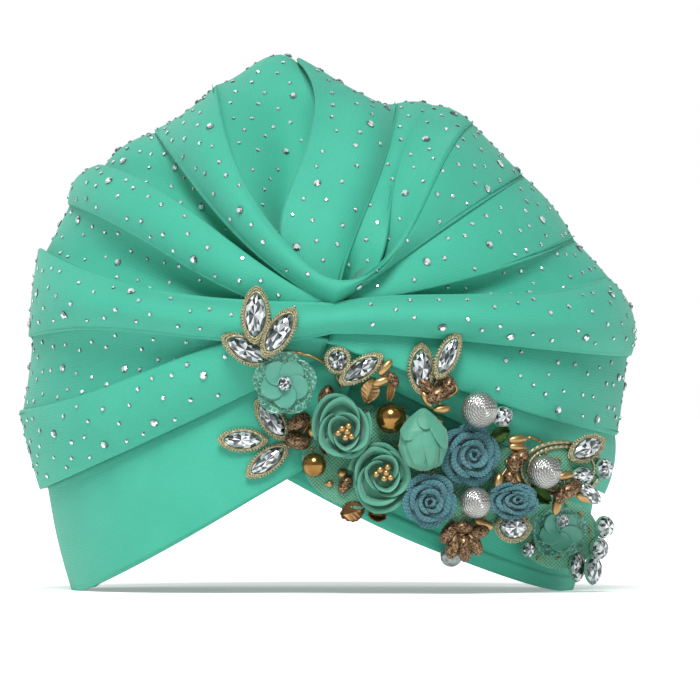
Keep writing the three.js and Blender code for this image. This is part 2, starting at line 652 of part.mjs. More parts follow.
function sprayGeometry({ pods }) {
  const pieces = pods.flatMap(({ x, y, length, width, roll }) => {
    const pod = new THREE.SphereGeometry(0.5, ...POD_SIDES);
    pod.rotateX(QUARTER).scale(length, width, width).rotateZ(THREE.MathUtils.degToRad(roll));
    pod.translate(x, y, 0.5 * width);
    const run = Math.hypot(x, y);
    const stem = new THREE.BoxGeometry(run + STEM.width, STEM.width, STEM.width);
    stem.rotateZ(Math.atan2(y, x)).translate(0.5 * x, 0.5 * y, STEM.rise);
    return [pod, stem];
  });
  return fuse(pieces);
}

function roseGeometry({ width, height, depth }) {
  return heapGeometry(ROSE.rings, ROSE.sides, (angle, share) => {
    const lobe = 1 + ROSE.lobeDepth * Math.cos(ROSE.lobes * angle);
    const spiral = Math.cos(2 * Math.PI * ROSE.turns * share - angle);
    const level = 1 - ROSE.fall * share * share + (share > 0 ? ROSE.ridge * spiral : 0);
    const x = 0.5 * width * share * lobe * Math.cos(angle);
    const y = 0.5 * height * share * lobe * Math.sin(angle);
    return new THREE.Vector3(x, y, depth * level);
  });
}

function budGeometry() {
  const widest = Math.max(...BUD_PROFILE.map(({ r }) => r)) * (1 + BUD.lobeDepth);
  return stackRings(BUD_PROFILE.map(({ y, r }) => Array.from({ length: BUD.sides }, (_, s) => {
    const angle = (2 * Math.PI * s) / BUD.sides;
    const radius = r * (1 + BUD.lobeDepth * Math.cos(BUD.lobes * angle));
    const z = BUD.flatten * (widest + radius * Math.sin(angle));
    return new THREE.Vector3(radius * Math.cos(angle), y, z);
  })));
}

function ballGeometry({ diameter }) {
  const radius = 0.5 * diameter;
  return new THREE.SphereGeometry(radius, ...BALL_SIDES).rotateX(QUARTER).translate(0, 0, radius);
}

// Assembly

const hat = new THREE.Group();
hat.position.y = SETBACK;
const placed = [];

function addPiece(name, geometry, colour) {
  const mesh = new THREE.Mesh(geometry, new THREE.MeshStandardMaterial(COLOURS[colour]));
  mesh.name = name;
  hat.add(mesh);
  return mesh;
}

function remember(mesh) {
  mesh.updateMatrix();
  const geometry = mesh.geometry.clone().applyMatrix4(mesh.matrix);
  geometry.computeBoundingBox();
  placed.push({ box: geometry.boundingBox, solid: solidOf(geometry) });
}

function meetsAnother(mesh, y) {
  mesh.position.y = y;
  mesh.updateMatrix();
  const geometry = mesh.geometry.clone().applyMatrix4(mesh.matrix);
  geometry.computeBoundingBox();
  const near = placed.filter(({ box }) => box.intersectsBox(geometry.boundingBox));
  if (near.length === 0) return false;
  const solid = solidOf(geometry);
  return near.some((other) => !other.solid.intersect(solid).isEmpty());
}

// A piece is let down from the front, straight back, until it first meets what is already there
function sew(row, geometry, colour) {
  geometry.rotateZ(THREE.MathUtils.degToRad(row.roll ?? 0));
  const mesh = addPiece(row.name, geometry, colour);
  const lean = LEAN.angle * THREE.MathUtils.clamp(row.x / LEAN.atX, -1, 1);
  mesh.rotation.set(QUARTER, 0, lean, "ZYX");
  mesh.position.set(row.x, SETTLE.from, row.z);
  let clear = SETTLE.from;
  while (clear < SETTLE.to && !meetsAnother(mesh, clear + SETTLE.stride)) clear += SETTLE.stride;
  let stride = SETTLE.stride;
  for (let k = 0; k < SETTLE.halvings; k += 1) {
    stride /= 2;
    if (!meetsAnother(mesh, clear + stride)) clear += stride;
  }
  mesh.position.y = clear - GAP;
  remember(mesh);
}

remember(addPiece("crown", crownGeometry(), "mint"));
BAND_SIDES.forEach((side) => remember(addPiece(side.name, bandGeometry(side), "mint")));
BACKINGS.forEach((row) => sew(row, backingGeometry(row), "lace"));
CRYSTALS.forEach((row) => sew(row, crystalGeometry(row), "crystal"));
FLOWERS.forEach((row) => sew(row, flowerGeometry(row), "petal"));
LEAVES.forEach((row) => sew(row, leafGeometry(row), row.colour));
SPRAYS.forEach((row) => sew(row, sprayGeometry(row), "bronze"));
ROSES.forEach((row) => sew(row, roseGeometry(row), row.colour));
sew(BUD, budGeometry(), "rose");
BALLS.forEach((row) => sew(row, ballGeometry(row), row.colour));

const turban = new THREE.Group();
turban.add(hat);

export default turban;
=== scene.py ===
# %% [markdown]
# # A jewelled turban hat
# The hat is a ready-sewn turban: a knit crown whose pleats fan out from a knot in front, two plain bands
# that cross under the knot, and a corsage of ribbon roses, cut stones and pearls at the front right.
# The solids of the hat are loaded first and are never moved. Each of them says where its piece belongs,
# and the cells below lay a finer surface there, worked out as whole arrays of points.

# %% Load the hat and note its box
import bmesh
import bpy
import numpy as np
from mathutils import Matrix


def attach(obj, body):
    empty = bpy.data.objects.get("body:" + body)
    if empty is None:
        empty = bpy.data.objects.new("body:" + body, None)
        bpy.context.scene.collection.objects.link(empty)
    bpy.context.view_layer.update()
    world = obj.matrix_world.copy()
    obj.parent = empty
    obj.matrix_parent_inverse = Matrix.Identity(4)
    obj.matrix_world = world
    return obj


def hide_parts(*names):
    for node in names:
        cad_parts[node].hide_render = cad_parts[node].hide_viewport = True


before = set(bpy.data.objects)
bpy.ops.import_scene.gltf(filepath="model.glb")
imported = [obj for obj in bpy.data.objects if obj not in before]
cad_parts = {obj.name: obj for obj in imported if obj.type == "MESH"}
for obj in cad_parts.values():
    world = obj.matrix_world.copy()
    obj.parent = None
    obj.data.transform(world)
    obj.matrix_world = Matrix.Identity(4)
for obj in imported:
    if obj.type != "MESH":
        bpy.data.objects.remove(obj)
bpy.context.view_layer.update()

# %% [markdown]
# ## Points into meshes
# Sizes below are in millimetres in the frame of the head, whose axis lies a little behind the origin.
# A surface is a grid of points, so one helper lists the quads of a grid and another joins several
# surfaces into one piece. Points that fall together, as at a pole, are merged, which closes the surface.

# %% Grids, patches and pieces
MM = 0.001
SETBACK = 10.8  # the head's axis lies this far behind the origin
MERGE = 0.00002  # points closer than this, in metres, become one
QUARTER = np.pi / 2
dice = np.random.default_rng(17)


def smooth(value, limits):
    """Rises from 0 to 1 between two limits with no corner: 3 s squared less 2 s cubed."""
    share = np.clip((value - limits[0]) / (limits[1] - limits[0]), 0, 1)
    return share * share * (3 - 2 * share)


def mix(a, b, share):
    """The point or number that lies a share of the way from a to b."""
    return a + (b - a) * share


def table(columns, rows):
    """Rows of values as records, with one name for each column."""
    return [dict(zip(columns, row)) for row in rows]


def unit(vectors):
    """Each vector divided by its own length."""
    return vectors / np.maximum(np.linalg.norm(vectors, axis=-1, keepdims=True), 1e-9)


def grid_quads(rows, columns, closed=False):
    """The quads of a grid of points, row after row. A closed grid joins its last column to its first."""
    row = np.arange(rows - 1)[:, None]
    column = np.arange(columns if closed else columns - 1)[None, :]
    after = (column + 1) % columns
    corners = [row * columns + column, row * columns + after,
               (row + 1) * columns + after, (row + 1) * columns + column]
    return np.stack(np.broadcast_arrays(*corners), axis=-1).reshape(-1, 4)


def patch(points, closed=False):
    """A grid of points as a list of points and the quads between them."""
    rows, columns = points.shape[:2]
    return points.reshape(-1, 3), grid_quads(rows, columns, closed)


def joined(patches):
    """Several patches as one: each patch's corners count on from the patch before it."""
    starts = np.cumsum([0] + [len(points) for points, _ in patches[:-1]])
    points = np.concatenate([points for points, _ in patches])
    faces = np.concatenate([quads + start for (_, quads), start in zip(patches, starts)])
    return points, faces


def copies(template, places, axes, sizes):
    """One small shape set down many times: its x, y and z times a size along each place's own axes."""
    points, faces = template
    spread = np.einsum("pk,nkc->npc", points, axes * sizes[:, None, None]) + places[:, None, :]
    shift = np.arange(len(places))[:, None, None] * len(points)
    return spread.reshape(-1, 3), (faces[None] + shift).reshape(-1, faces.shape[1])


def make_piece(name, shape, finish, flat_shaded=False, across=None, wall=None, merged=True):
    """A mesh object in metres that rides on the hat. across gives each point a place on the cloth."""
    points, faces = shape
    mesh = bpy.data.meshes.new(name)
    mesh.from_pydata(((points + (0, SETBACK, 0)) * MM).tolist(), [], faces.tolist())
    if across is not None:
        layer = mesh.uv_layers.new(name="cloth")
        corners = np.empty(len(mesh.loops), dtype=np.int32)
        mesh.loops.foreach_get("vertex_index", corners)
        layer.data.foreach_set("uv", across[corners].astype(np.float32).ravel())
    if merged:
        work = bmesh.new()
        work.from_mesh(mesh)
        bmesh.ops.remove_doubles(work, verts=work.verts, dist=MERGE)
        bmesh.ops.dissolve_degenerate(work, edges=work.edges, dist=MERGE)
        work.to_mesh(mesh)
        work.free()
    mesh.polygons.foreach_set("use_smooth", np.full(len(mesh.polygons), not flat_shaded))
    mesh.materials.append(finish)
    piece = bpy.data.objects.new(name, mesh)
    bpy.context.scene.collection.objects.link(piece)
    if wall is not None:
        solidify = piece.modifiers.new("wall", "SOLIDIFY")
        solidify.thickness = wall * MM
        solidify.offset = -1
        solidify.use_even_offset = False
    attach(piece, "root")
    print(name, "points:", len(mesh.vertices), "faces:", len(mesh.polygons))
    return piece


# %% [markdown]
# ## Finishes from plain expressions
# A finish is a Principled shader with a few nodes in front of it. Node trees are hard to read as code,
# so a small class lets a socket take part in ordinary arithmetic, and one method adds every other node.

# %% A socket that can be reckoned with
class Wire:
    """A shader value: an expression such as 1 - wire * 0.3 adds its Math nodes to the finish."""

    def __init__(self, tree, socket):
        self.tree = tree
        self.socket = socket

    def reckon(self, operation, first, second):
        """Adds one Math node with two inputs, each a number or a wire."""
        made = self.tree.nodes.new("ShaderNodeMath")
        made.operation = operation
        connect(self.tree, made.inputs[0], first)
        connect(self.tree, made.inputs[1], second)
        return Wire(self.tree, made.outputs[0])

    def __add__(self, other):
        return self.reckon("ADD", self, other)

    def __radd__(self, other):
        return self.reckon("ADD", other, self)

    def __sub__(self, other):
        return self.reckon("SUBTRACT", self, other)

    def __rsub__(self, other):
        return self.reckon("SUBTRACT", other, self)

    def __mul__(self, other):
        return self.reckon("MULTIPLY", self, other)

    def __rmul__(self, other):
        return self.reckon("MULTIPLY", other, self)

    def __pow__(self, other):
        return self.reckon("POWER", self, other)

    def wave(self):
        """The sine of the value, brought into 0 to 1."""
        return 0.5 + 0.5 * self.reckon("SINE", self, 0.0)


def connect(tree, port, value):
    """Sets a socket to a number or a colour, or links a wire to it."""
    if isinstance(value, Wire):
        tree.links.new(value.socket, port)
    else:
        port.default_value = value


def paint(red, green, blue):
    """A screen colour of 0 to 255 as the linear light that the shaders mix."""
    share = np.array([red, green, blue]) / 255
    light = np.where(share <= 0.04045, share / 12.92, ((share + 0.055) / 1.055) ** 2.4)
    return (*light.tolist(), 1.0)


class Finish:
    """One material: values that are the same all over go on the shader, the rest come in by wires."""

    def __init__(self, name, **even):
        self.material = bpy.data.materials.new(name)
        self.material.use_nodes = True
        self.tree = self.material.node_tree
        self.shader = self.tree.nodes["Principled BSDF"]
        for socket, value in even.items():
            self.shader.inputs[socket.replace("_", " ")].default_value = value

    def node(self, kind, settings=None, sockets=None, output=0):
        """Adds a node: first its settings, then the values or wires of its sockets."""
        made = self.tree.nodes.new(kind)
        for key, value in (settings or {}).items():
            if key == "stops":
                ramp = made.color_ramp.elements
                for place, _ in value[1:-1]:
                    ramp.new(place)
                for stop, (place, colour) in zip(ramp, value):
                    stop.position = place
                    stop.color = colour
            else:
                setattr(made, key, value)
        for key, value in (sockets or {}).items():
            connect(self.tree, made.inputs[key], value)
        return Wire(self.tree, made.outputs[output])

    def blend(self, share, first, second):
        """The colour that lies a share of the way from the first to the second."""
        return self.node("ShaderNodeMix", {"data_type": "RGBA"}, {0: share, 6: first, 7: second}, output=2)

    def place(self):
        """Where a point lies on the hat, in metres."""
        return self.node("ShaderNodeTexCoord", output="Object")

    def noise(self, size, detail=2.0, vector=None):
        """Soft random cloudiness from 0 to 1, with lumps of about a size in millimetres."""
        sockets = {"Vector": vector or self.place(), "Scale": 1 / (size * MM), "Detail": detail}
        return self.node("ShaderNodeTexNoise", {}, sockets, output="Fac")

    def grains(self, size, output="Color", vector=None):
        """Random flat cells, each with a value of its own."""
        sockets = {"Vector": vector or self.place(), "Scale": 1 / (size * MM)}
        return self.node("ShaderNodeTexVoronoi", {}, sockets, output=output)

    def flakes(self, size):
        """One random number from 0 to 1 for each flat cell."""
        return self.node("ShaderNodeSeparateColor", {}, {"Color": self.grains(size)}, output=0)

    def own_map(self):
        """A point's place on the piece's own map, in metres across and along."""
        return self.node("ShaderNodeUVMap", {"uv_map": "cloth"}, output="UV")

    def axis(self, vector, letter):
        """One of the numbers of a vector."""
        return self.node("ShaderNodeSeparateXYZ", {}, {"Vector": vector}, output=letter)

    def relief(self, height, depth):
        """Sends a height from 0 to 1 through a Bump node to the shader's normal, with a depth in mm."""
        bump = self.node("ShaderNodeBump", {}, {"Height": height, "Distance": depth * MM}, output="Normal")
        self.drive("Normal", bump)

    def drive(self, socket, wire):
        """Links a wire to one of the shader's sockets."""
        connect(self.tree, self.shader.inputs[socket], wire)


# %% [markdown]
# ## The knit
# The cloth is a firm mint knit with fine ribs along each pleat. The ribs have to follow the pleats, so
# every cloth piece keeps its own map, in metres across and along, and the finish draws the ribs on that.
# A little cloudiness keeps the colour from looking like plastic, and sheen gives the soft edge of knit.

# %% Mint knit
RIB = 1.1  # mm from one rib to the next
MINT = paint(62, 179, 153)
MINT_SHADE = paint(30, 156, 128)
KNIT_SHINE = paint(240, 250, 246)
GRAIN = {"size": 0.55, "stretch": (1.3, 0.45, 1.0), "share": 0.82}
RIB_WANDER = {"size": 4, "turns": 3}
KNIT_DEPTH = 0.12
KNIT_CLOUD = {"size": 16, "share": 0.45}


def knit_finish(name, light, shade):
    """Ribs are a sine along the map's first axis, broken up by a fine grain that lies along them."""
    finish = Finish(name, Roughness=0.8, Specular_IOR_Level=0.9, Specular_Tint=KNIT_SHINE,
                    Sheen_Weight=0.1, Sheen_Roughness=0.5, Sheen_Tint=KNIT_SHINE)
    cloth = finish.own_map()
    mapping = {"Vector": cloth, "Scale": GRAIN["stretch"]}
    stretched = finish.node("ShaderNodeMapping", {}, mapping, output="Vector")
    grain = finish.noise(GRAIN["size"], detail=3.0, vector=stretched)
    wander = finish.noise(RIB_WANDER["size"], detail=1.0) * RIB_WANDER["turns"]
    ribs = (finish.axis(cloth, "X") * (2 * np.pi / (RIB * MM)) + wander).wave()
    surface = ribs * (1 - GRAIN["share"]) + grain * GRAIN["share"]
    finish.relief(surface, KNIT_DEPTH)
    cloud = finish.noise(KNIT_CLOUD["size"], detail=3.0)
    tone = cloud * KNIT_CLOUD["share"] + surface * (1 - KNIT_CLOUD["share"])
    finish.drive("Base Color", finish.blend(tone, shade, light))
    return finish.material


mint_knit = knit_finish("mint knit", MINT, MINT_SHADE)
print("knit ribs every", RIB, "mm")

# %% [markdown]
# ## Folds of the crown
# Each fold runs from the knot over the front to the outline and on down the back. A fold is a cubic
# through four points on the face, bent round like a quarter circle, so a pleat is the ruled surface
# between two folds, raised above the rounded form. Where one pleat lies on another, its edge stands
# half a step up and the cloth turns round it and runs back under, as a pressed pleat does.

# %% Sizes of the folds
HUBS = {
    "knot": (2, -110, 99),
    "roll": (1.5, -113, 90.5),
    "pinch": (0, -111, 87),
    "band": (-1.5, -105, 82),
    "cradle": (4.5, -113, 106.5),
    "under": (4.2, -107.5, 104.3),
}
# over: 1 where the pleat after the fold lies on top, -1 where the one before it does. step: how far it
# stands up. face, edge: the swell of the pleat after the fold, on the face and at the outline. begin: the
# step and the swell at the knot. reach: where the step has died away. skew: above 1, the swell lies late.
FOLD_COLUMNS = ["hub", "x1", "z1", "x2", "z2", "x3", "z3", "over", "step", "face", "edge",
                "begin_step", "begin_face", "reach", "skew"]
FOLD_ROWS = [
    ("band", -33.5, 66, -66.5, 50.5, -101, 35, 1, 0, 3, 0.4, 0, 0, 1.35, 1),
    ("pinch", -35, 85.5, -70, 72.5, -107.5, 62.5, -1, 3.5, -2.5, -0.4, 0, 0, 1.35, 1),
    ("roll", -34.5, 88, -70, 91.5, -104, 89, 1, 4.5, 6.5, 0.2, 0, 5, 1.35, 1),
    ("knot", -31, 100, -66, 105, -100, 118.5, -1, 8, -5, 0, 0, 0, 1.35, 1),
    ("knot", -29, 103, -59, 119.5, -90.5, 135, 1, 2.5, 3.5, 3, 0, 0, 1.35, 1),
    ("knot", -25, 113.5, -50.5, 132.5, -80, 147.5, -1, 7.5, -5, 2.8, 0, 0, 1.35, 1),
    ("knot", -23, 116.2, -42, 136.5, -60, 160.5, 1, 3.5, 4, -1.5, 2, 2, 1.35, 1),
    ("cradle", -18.5, 124, -33, 150, -39, 176.5, -1, 8, -10, 5.4, 6, 0, 1.0, 2),
    ("under", -15.2, 125.2, -5.6, 153.5, -10.2, 184.8, 1, 8, 5.5, -3.8, 0, 0, 1.3, 1.75),
    ("under", 9, 122, 18, 145, 24.5, 170.2, -1, 0.9, 0.8, 1, 0, -7, 1.0, 1),
    ("under", 18, 117, 23.5, 143.5, 36.5, 169.5, -1, 6, -1.5, 1.4, 0, -3, 0.45, 1),
    ("cradle", 23.5, 119, 36.5, 144, 49.5, 164, 1, 1, 1.2, 0, 6, 2, 1.05, 1),
    ("knot", 22.5, 113.5, 45, 129.5, 68.5, 144.5, -1, 1.3, 1.5, 1.5, 2, 0, 1.05, 1),
    ("knot", 28.5, 104, 57.5, 111.5, 86, 122.5, -1, 2, -3.5, 0.3, 0, 0, 1.05, 1),
    ("knot", 34, 101.5, 69, 102.5, 98, 109.5, 1, 8, 7.5, 4.6, 0, 5, 1.0, 1),
    ("roll", 35.5, 89, 70.5, 85.5, 105.5, 82.5, -1, 4.5, 2, 0.2, 0, 0, 1.35, 1),
    ("pinch", 35.5, 74, 69, 63, 101, 54.5, -1, 2.5, 2, 1.6, 0, 0, 1.35, 1),
    ("band", 31, 66, 63.5, 50, 97, 33.5, -1, 0, 0, 0, 0, 0, 1.35, 1),
]
FOLDS = {key: np.array([row[k] for row in FOLD_ROWS]) for k, key in enumerate(FOLD_COLUMNS)}
HUB_POINTS = np.array([HUBS[name] for name in FOLDS["hub"]])
PLEATS = len(FOLD_ROWS) - 1

RISE = (0.02, 0.34)  # 0 is the knot, 1 the outline and 2 the lower edge of the back
FADE_START = 1 / 3  # of a step's reach
STEEPEST = 0.55  # a step is at most this share of the two pleats beside it
LEVEL_RUN = 0.3  # over this share the cradle's edges come in level
SWELL_TURN = (0.55, 1)
SWELL_FADE = (1.1, 1.9)
UNDER_BLEND = (0, 0.2)  # how soon the tucks come away from the pocket behind the knot
LAP = 0.55
MAX_LAP = 0.35
DOME = {"centre": (-1, -10, 85), "half": (105, 108, 102)}
OUTLINE = {"low_z": 35, "low_y": -2, "top_z": 185, "top_y": -24}
BACK = {"x": -2, "half_width": 98.5, "depth": 100, "side_z": 34, "rise": 40, "folds_from": 12}


def outward(points):
    """The direction away from the head: the slope of an ellipsoid, with no tilt below its middle."""
    away = (points - DOME["centre"]) / np.square(DOME["half"])
    away[..., 2] = np.maximum(away[..., 2], 0)
    return unit(away)


def back_edge(angle):
    """The lower edge behind the head: a flat oval that rises with the square of the sine."""
    return np.stack([BACK["x"] + BACK["half_width"] * np.cos(angle), BACK["depth"] * np.sin(angle),
                     BACK["side_z"] + BACK["rise"] * np.sin(angle) ** 2], axis=-1)


def back_angles():
    """Folds reach the back edge spaced as they are along the outline, from the left side to the right."""
    sideways, upwards = [np.diff(FOLDS[key], prepend=FOLDS[key][0]) for key in ("x3", "z3")]
    runs = np.hypot(sideways, upwards)
    share = np.cumsum(runs) / runs.sum()
    return np.radians(mix(180 - BACK["folds_from"], BACK["folds_from"], share))


def fold_points(along):
    """Every fold at every row: a cubic on the face in x and z, a quarter circle in depth, and then a
    quarter circle from the outline to the back edge."""
    front = np.minimum(along, 1)[:, None] * QUARTER
    turn = np.maximum(along - 1, 0)[:, None] * QUARTER
    share = np.sin(front)
    weights = [(1 - 3 * share) * (1 - 1.5 * share) * (1 - share), 9 * share * (1 - 1.5 * share) * (1 - share),
               -4.5 * share * (1 - 3 * share) * (1 - share), share * (1 - 3 * share) * (1 - 1.5 * share)]
    x = sum(w * v for w, v in zip(weights, [HUB_POINTS[:, 0], FOLDS["x1"], FOLDS["x2"], FOLDS["x3"]]))
    z = sum(w * v for w, v in zip(weights, [HUB_POINTS[:, 2], FOLDS["z1"], FOLDS["z2"], FOLDS["z3"]]))
    height = (FOLDS["z3"] - OUTLINE["low_z"]) / (OUTLINE["top_z"] - OUTLINE["low_z"])
    side_y = mix(OUTLINE["low_y"], OUTLINE["top_y"], height)
    y = HUB_POINTS[:, 1] + (side_y - HUB_POINTS[:, 1]) * (1 - np.cos(front))
    slope = -5.5 * HUB_POINTS[:, 2] + 9 * FOLDS["z1"] - 4.5 * FOLDS["z2"] + FOLDS["z3"]
    level = np.where(FOLDS["hub"] == "cradle", slope, 0)
    z = z - level * share * np.maximum(0, 1 - share / LEVEL_RUN) ** 2
    seat = back_edge(back_angles())
    return np.stack([seat[:, 0] + (x - seat[:, 0]) * np.cos(turn), y + (seat[:, 1] - y) * np.sin(turn),
                     seat[:, 2] + (z - seat[:, 2]) * np.cos(turn)], axis=-1)


print("folds:", PLEATS + 1, "pleats:", PLEATS)

# %% [markdown]
# ## The crown as one sheet
# All the pleats lie in one grid of points, so the crown is one sheet that is folded and not seventeen
# strips. Columns crowd towards the edges of a pleat, where the cloth bends most, and a few more carry it
# round each edge. The sheet is then given the thickness of the knit on its inner side.

# %% Pleats, edges and tucks
FRONT_ROWS = 84
BACK_ROWS = 30
ACROSS = np.array([0, 0.02, 0.06, 0.12, 0.2, 0.3, 0.4, 0.5, 0.6, 0.7, 0.8, 0.88, 0.94, 0.98, 1])
EDGE_TURN = np.radians([35, 75, 115, 155])
EDGE_RADIUS = 1.1
EDGE_SHARE = 0.3  # of the step
KNIT_WALL = 1.5

rows = np.concatenate([np.linspace(0, 1, FRONT_ROWS, endpoint=False), np.linspace(1, 2, BACK_ROWS + 1)])
folds = fold_points(rows)
rise = smooth(rows, RISE)[:, None]
fade = 1 - smooth(rows[:, None], (FOLDS["reach"] * FADE_START, FOLDS["reach"]))
widths = np.linalg.norm(np.diff(folds, axis=1), axis=-1)
beside = np.pad(widths, ((0, 0), (1, 0))) + np.pad(widths, ((0, 0), (0, 1)))
limited = np.minimum(FOLDS["step"], STEEPEST * beside)
steps = np.where(FOLDS["begin_step"] > 0, mix(FOLDS["begin_step"], limited, rise), limited) * fade
swells = mix(FOLDS["begin_face"], mix(FOLDS["face"], FOLDS["edge"], smooth(rows, SWELL_TURN)[:, None]), rise)
swells = swells * (1 - smooth(rows, SWELL_FADE)[:, None])
pocket = smooth(rows, UNDER_BLEND)[:, None]


def is_over(fold, pleat):
    """True where this pleat is the one that lies on top at the fold."""
    return (FOLDS["over"][fold] > 0) == (pleat == fold)


def side_lift(fold, pleat):
    """Half the step up for the pleat on top, half of it down for the one below."""
    return (0.5 if is_over(fold, pleat) else -0.5) * steps[:, fold]


def pleat_points(pleat):
    """The ruled surface between two folds, raised by its sides' lifts and by a swell of 4 t (1 - t)."""
    base = mix(folds[:, pleat, None, :], folds[:, pleat + 1, None, :], ACROSS[None, :, None])
    slope = mix(side_lift(pleat, pleat)[:, None], side_lift(pleat + 1, pleat)[:, None], ACROSS[None, :])
    late = ACROSS ** FOLDS["skew"][pleat]
    lift = slope + swells[:, pleat, None] * 4 * late * (1 - late)
    return base + outward(base) * lift[..., None]


def tuck_points(fold):
    """The line where the lower pleat ends: past the fold under the upper pleat, half a step down."""
    toward = folds[:, fold + FOLDS["over"][fold]]
    width = np.linalg.norm(toward - folds[:, fold], axis=-1)
    share = np.minimum(MAX_LAP, LAP * steps[:, fold] / np.maximum(width, 1e-6))
    base = mix(folds[:, fold], toward, share[:, None])
    points = base - outward(base) * (0.5 * steps[:, fold])[:, None]
    return mix(np.array(HUBS["under"]), points, pocket) if FOLDS["hub"][fold] == "cradle" else points


def edge_points(fold):
    """The cloth turning round the upper edge: an arc from the upper face to its underside."""
    away = outward(folds[:, fold].copy())
    across = folds[:, fold] - folds[:, fold + FOLDS["over"][fold]]
    across = unit(across - away * np.sum(across * away, axis=-1, keepdims=True))
    radius = np.minimum(EDGE_RADIUS, EDGE_SHARE * steps[:, fold])[:, None, None]
    centre = folds[:, fold] + away * (0.5 * steps[:, fold])[:, None]
    turn = EDGE_TURN[None, :, None]
    arc = np.cos(turn) * away[:, None] + np.sin(turn) * across[:, None]
    return centre[:, None] - away[:, None] * radius + arc * radius


def crown_columns():
    """All columns from the lower left round to the lower right, with a mark for those on open pleats."""
    columns = []
    marks = []
    for pleat in range(PLEATS):
        points = pleat_points(pleat)
        if pleat > 0 and FOLDS["step"][pleat] > 0:
            edge = edge_points(pleat)
            if is_over(pleat, pleat):
                columns.append(edge[:, ::-1])
            else:
                columns.append(edge)
                points[:, 0] = tuck_points(pleat)
            marks.extend([-1] * len(EDGE_TURN))
        after = pleat + 1
        if after < PLEATS and FOLDS["step"][after] > 0 and not is_over(after, pleat):
            points[:, -1] = tuck_points(after)
        columns.append(points)
        marks.extend([pleat] * len(ACROSS))
    return np.concatenate(columns, axis=1), np.array(marks)


crown_grid, crown_marks = crown_columns()


def cloth_map(grid):
    """Distances over the cloth in metres: across the rows first, then down the columns."""
    over = np.linalg.norm(np.diff(grid, axis=1, prepend=grid[:, :1]), axis=-1).cumsum(axis=1)
    down = np.linalg.norm(np.diff(grid, axis=0, prepend=grid[:1]), axis=-1).cumsum(axis=0)
    return np.stack([over, down], axis=-1).reshape(-1, 2) * MM


def pleat_map(grid, marks):
    """The same distances, but across from the middle of each pleat, so that ribs run along the pleats."""
    spread = cloth_map(grid).reshape(*grid.shape[:2], 2)
    owner = np.maximum.accumulate(np.maximum(marks, 0))
    middle = np.searchsorted(owner, owner) + len(ACROSS) // 2
    spread[..., 0] = spread[..., 0] - spread[:, middle, 0]
    return spread.reshape(-1, 2)


crown = make_piece("crown_cloth", patch(crown_grid), mint_knit,
                   across=pleat_map(crown_grid, crown_marks), wall=KNIT_WALL)
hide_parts("crown")


def half_area(points):
    """The area of a grid of points, in square metres: half the cross product of each quad's diagonals."""
    first = points[1:, 1:] - points[:-1, :-1]
    second = points[1:, :-1] - points[:-1, 1:]
    return 0.5 * np.linalg.norm(np.cross(first, second), axis=-1).sum() * MM * MM


print("crown cloth, square metres:", round(half_area(crown_grid), 4))

# %% [markdown]
# ## The two bands
# Each band runs from the front crossing round to the seam at the back. Its top follows the lowest fold of
# the crown from inside and its rim stands on the shelf at the side, rising to the point in front and to a
# low arch behind. The right band passes under the left one, so its front is pushed in a little.

# %% Bands
BAND_SIDES = [
    {"name": "band_left", "fold": 0, "corner_x": -90, "sag": 1.07, "under": 0, "hem": 0},
    {"name": "band_right", "fold": PLEATS, "corner_x": 86, "sag": 1.25, "under": 5.2, "hem": 0.7},
]
BAND_WALL = 2.2
RIM = {"front": 99, "back": 95}
RIM_POINT = {"x": -14, "z": 39.5, "flat_from": 0.95}
RIM_ARCH = {"z": 42, "round": 1.5, "flat_from": 0.93}
BAND_CROSS = 10
BAND_UNDER_FADE = (14, 42)
BAND_CLEAR = 0.6
BAND_TUCK = 5
BAND_BULGE = 0.8
BAND_BACK = {"inset": 1.8, "fade": (80, 130)}
SEAM_GAP_ANGLE = 0.01
BAND_ROWS = 120
BAND_SHARES = np.concatenate([np.linspace(0, 0.84, 14), [0.86, 0.87, 0.9, 0.95, 1]])
HEM_EDGE = (0.86, 0.87)  # where the turned-up hem ends, as shares from the top to the rim


def band_top(side, degrees):
    """The crown's lowest fold as far as the back, and then the crown's back edge."""
    along = np.where(degrees <= 90, degrees / 90, 1 + (degrees - 90) / BACK["folds_from"])
    near = fold_points(np.clip(along, -1, 2))[:, side["fold"]]
    angle = np.radians(np.maximum(degrees, 90 + BACK["folds_from"]) - 90)
    behind = back_edge(np.pi - angle if side["fold"] == 0 else angle)
    return np.where((degrees <= 90 + BACK["folds_from"])[:, None], near, behind)


def band_rim(side, degrees):
    """The lower edge: an oval whose height falls from the front point, and from the arch behind, to 0."""
    angle = np.radians(degrees)
    share = np.sin(angle)
    front_z = RIM_POINT["z"] * np.maximum(0, 1 - share / RIM_POINT["flat_from"]) ** side["sag"]
    front = [mix(RIM_POINT["x"], side["corner_x"], share), -RIM["front"] * np.cos(angle), front_z]
    arch = 1 - np.maximum(0, share / RIM_ARCH["flat_from"]) ** RIM_ARCH["round"]
    behind_z = RIM_ARCH["z"] * np.maximum(0, arch)
    behind = [mix(BACK["x"], side["corner_x"], share), -RIM["back"] * np.cos(angle), behind_z]
    return np.where((degrees <= 90)[:, None], np.stack(front, axis=-1), np.stack(behind, axis=-1))


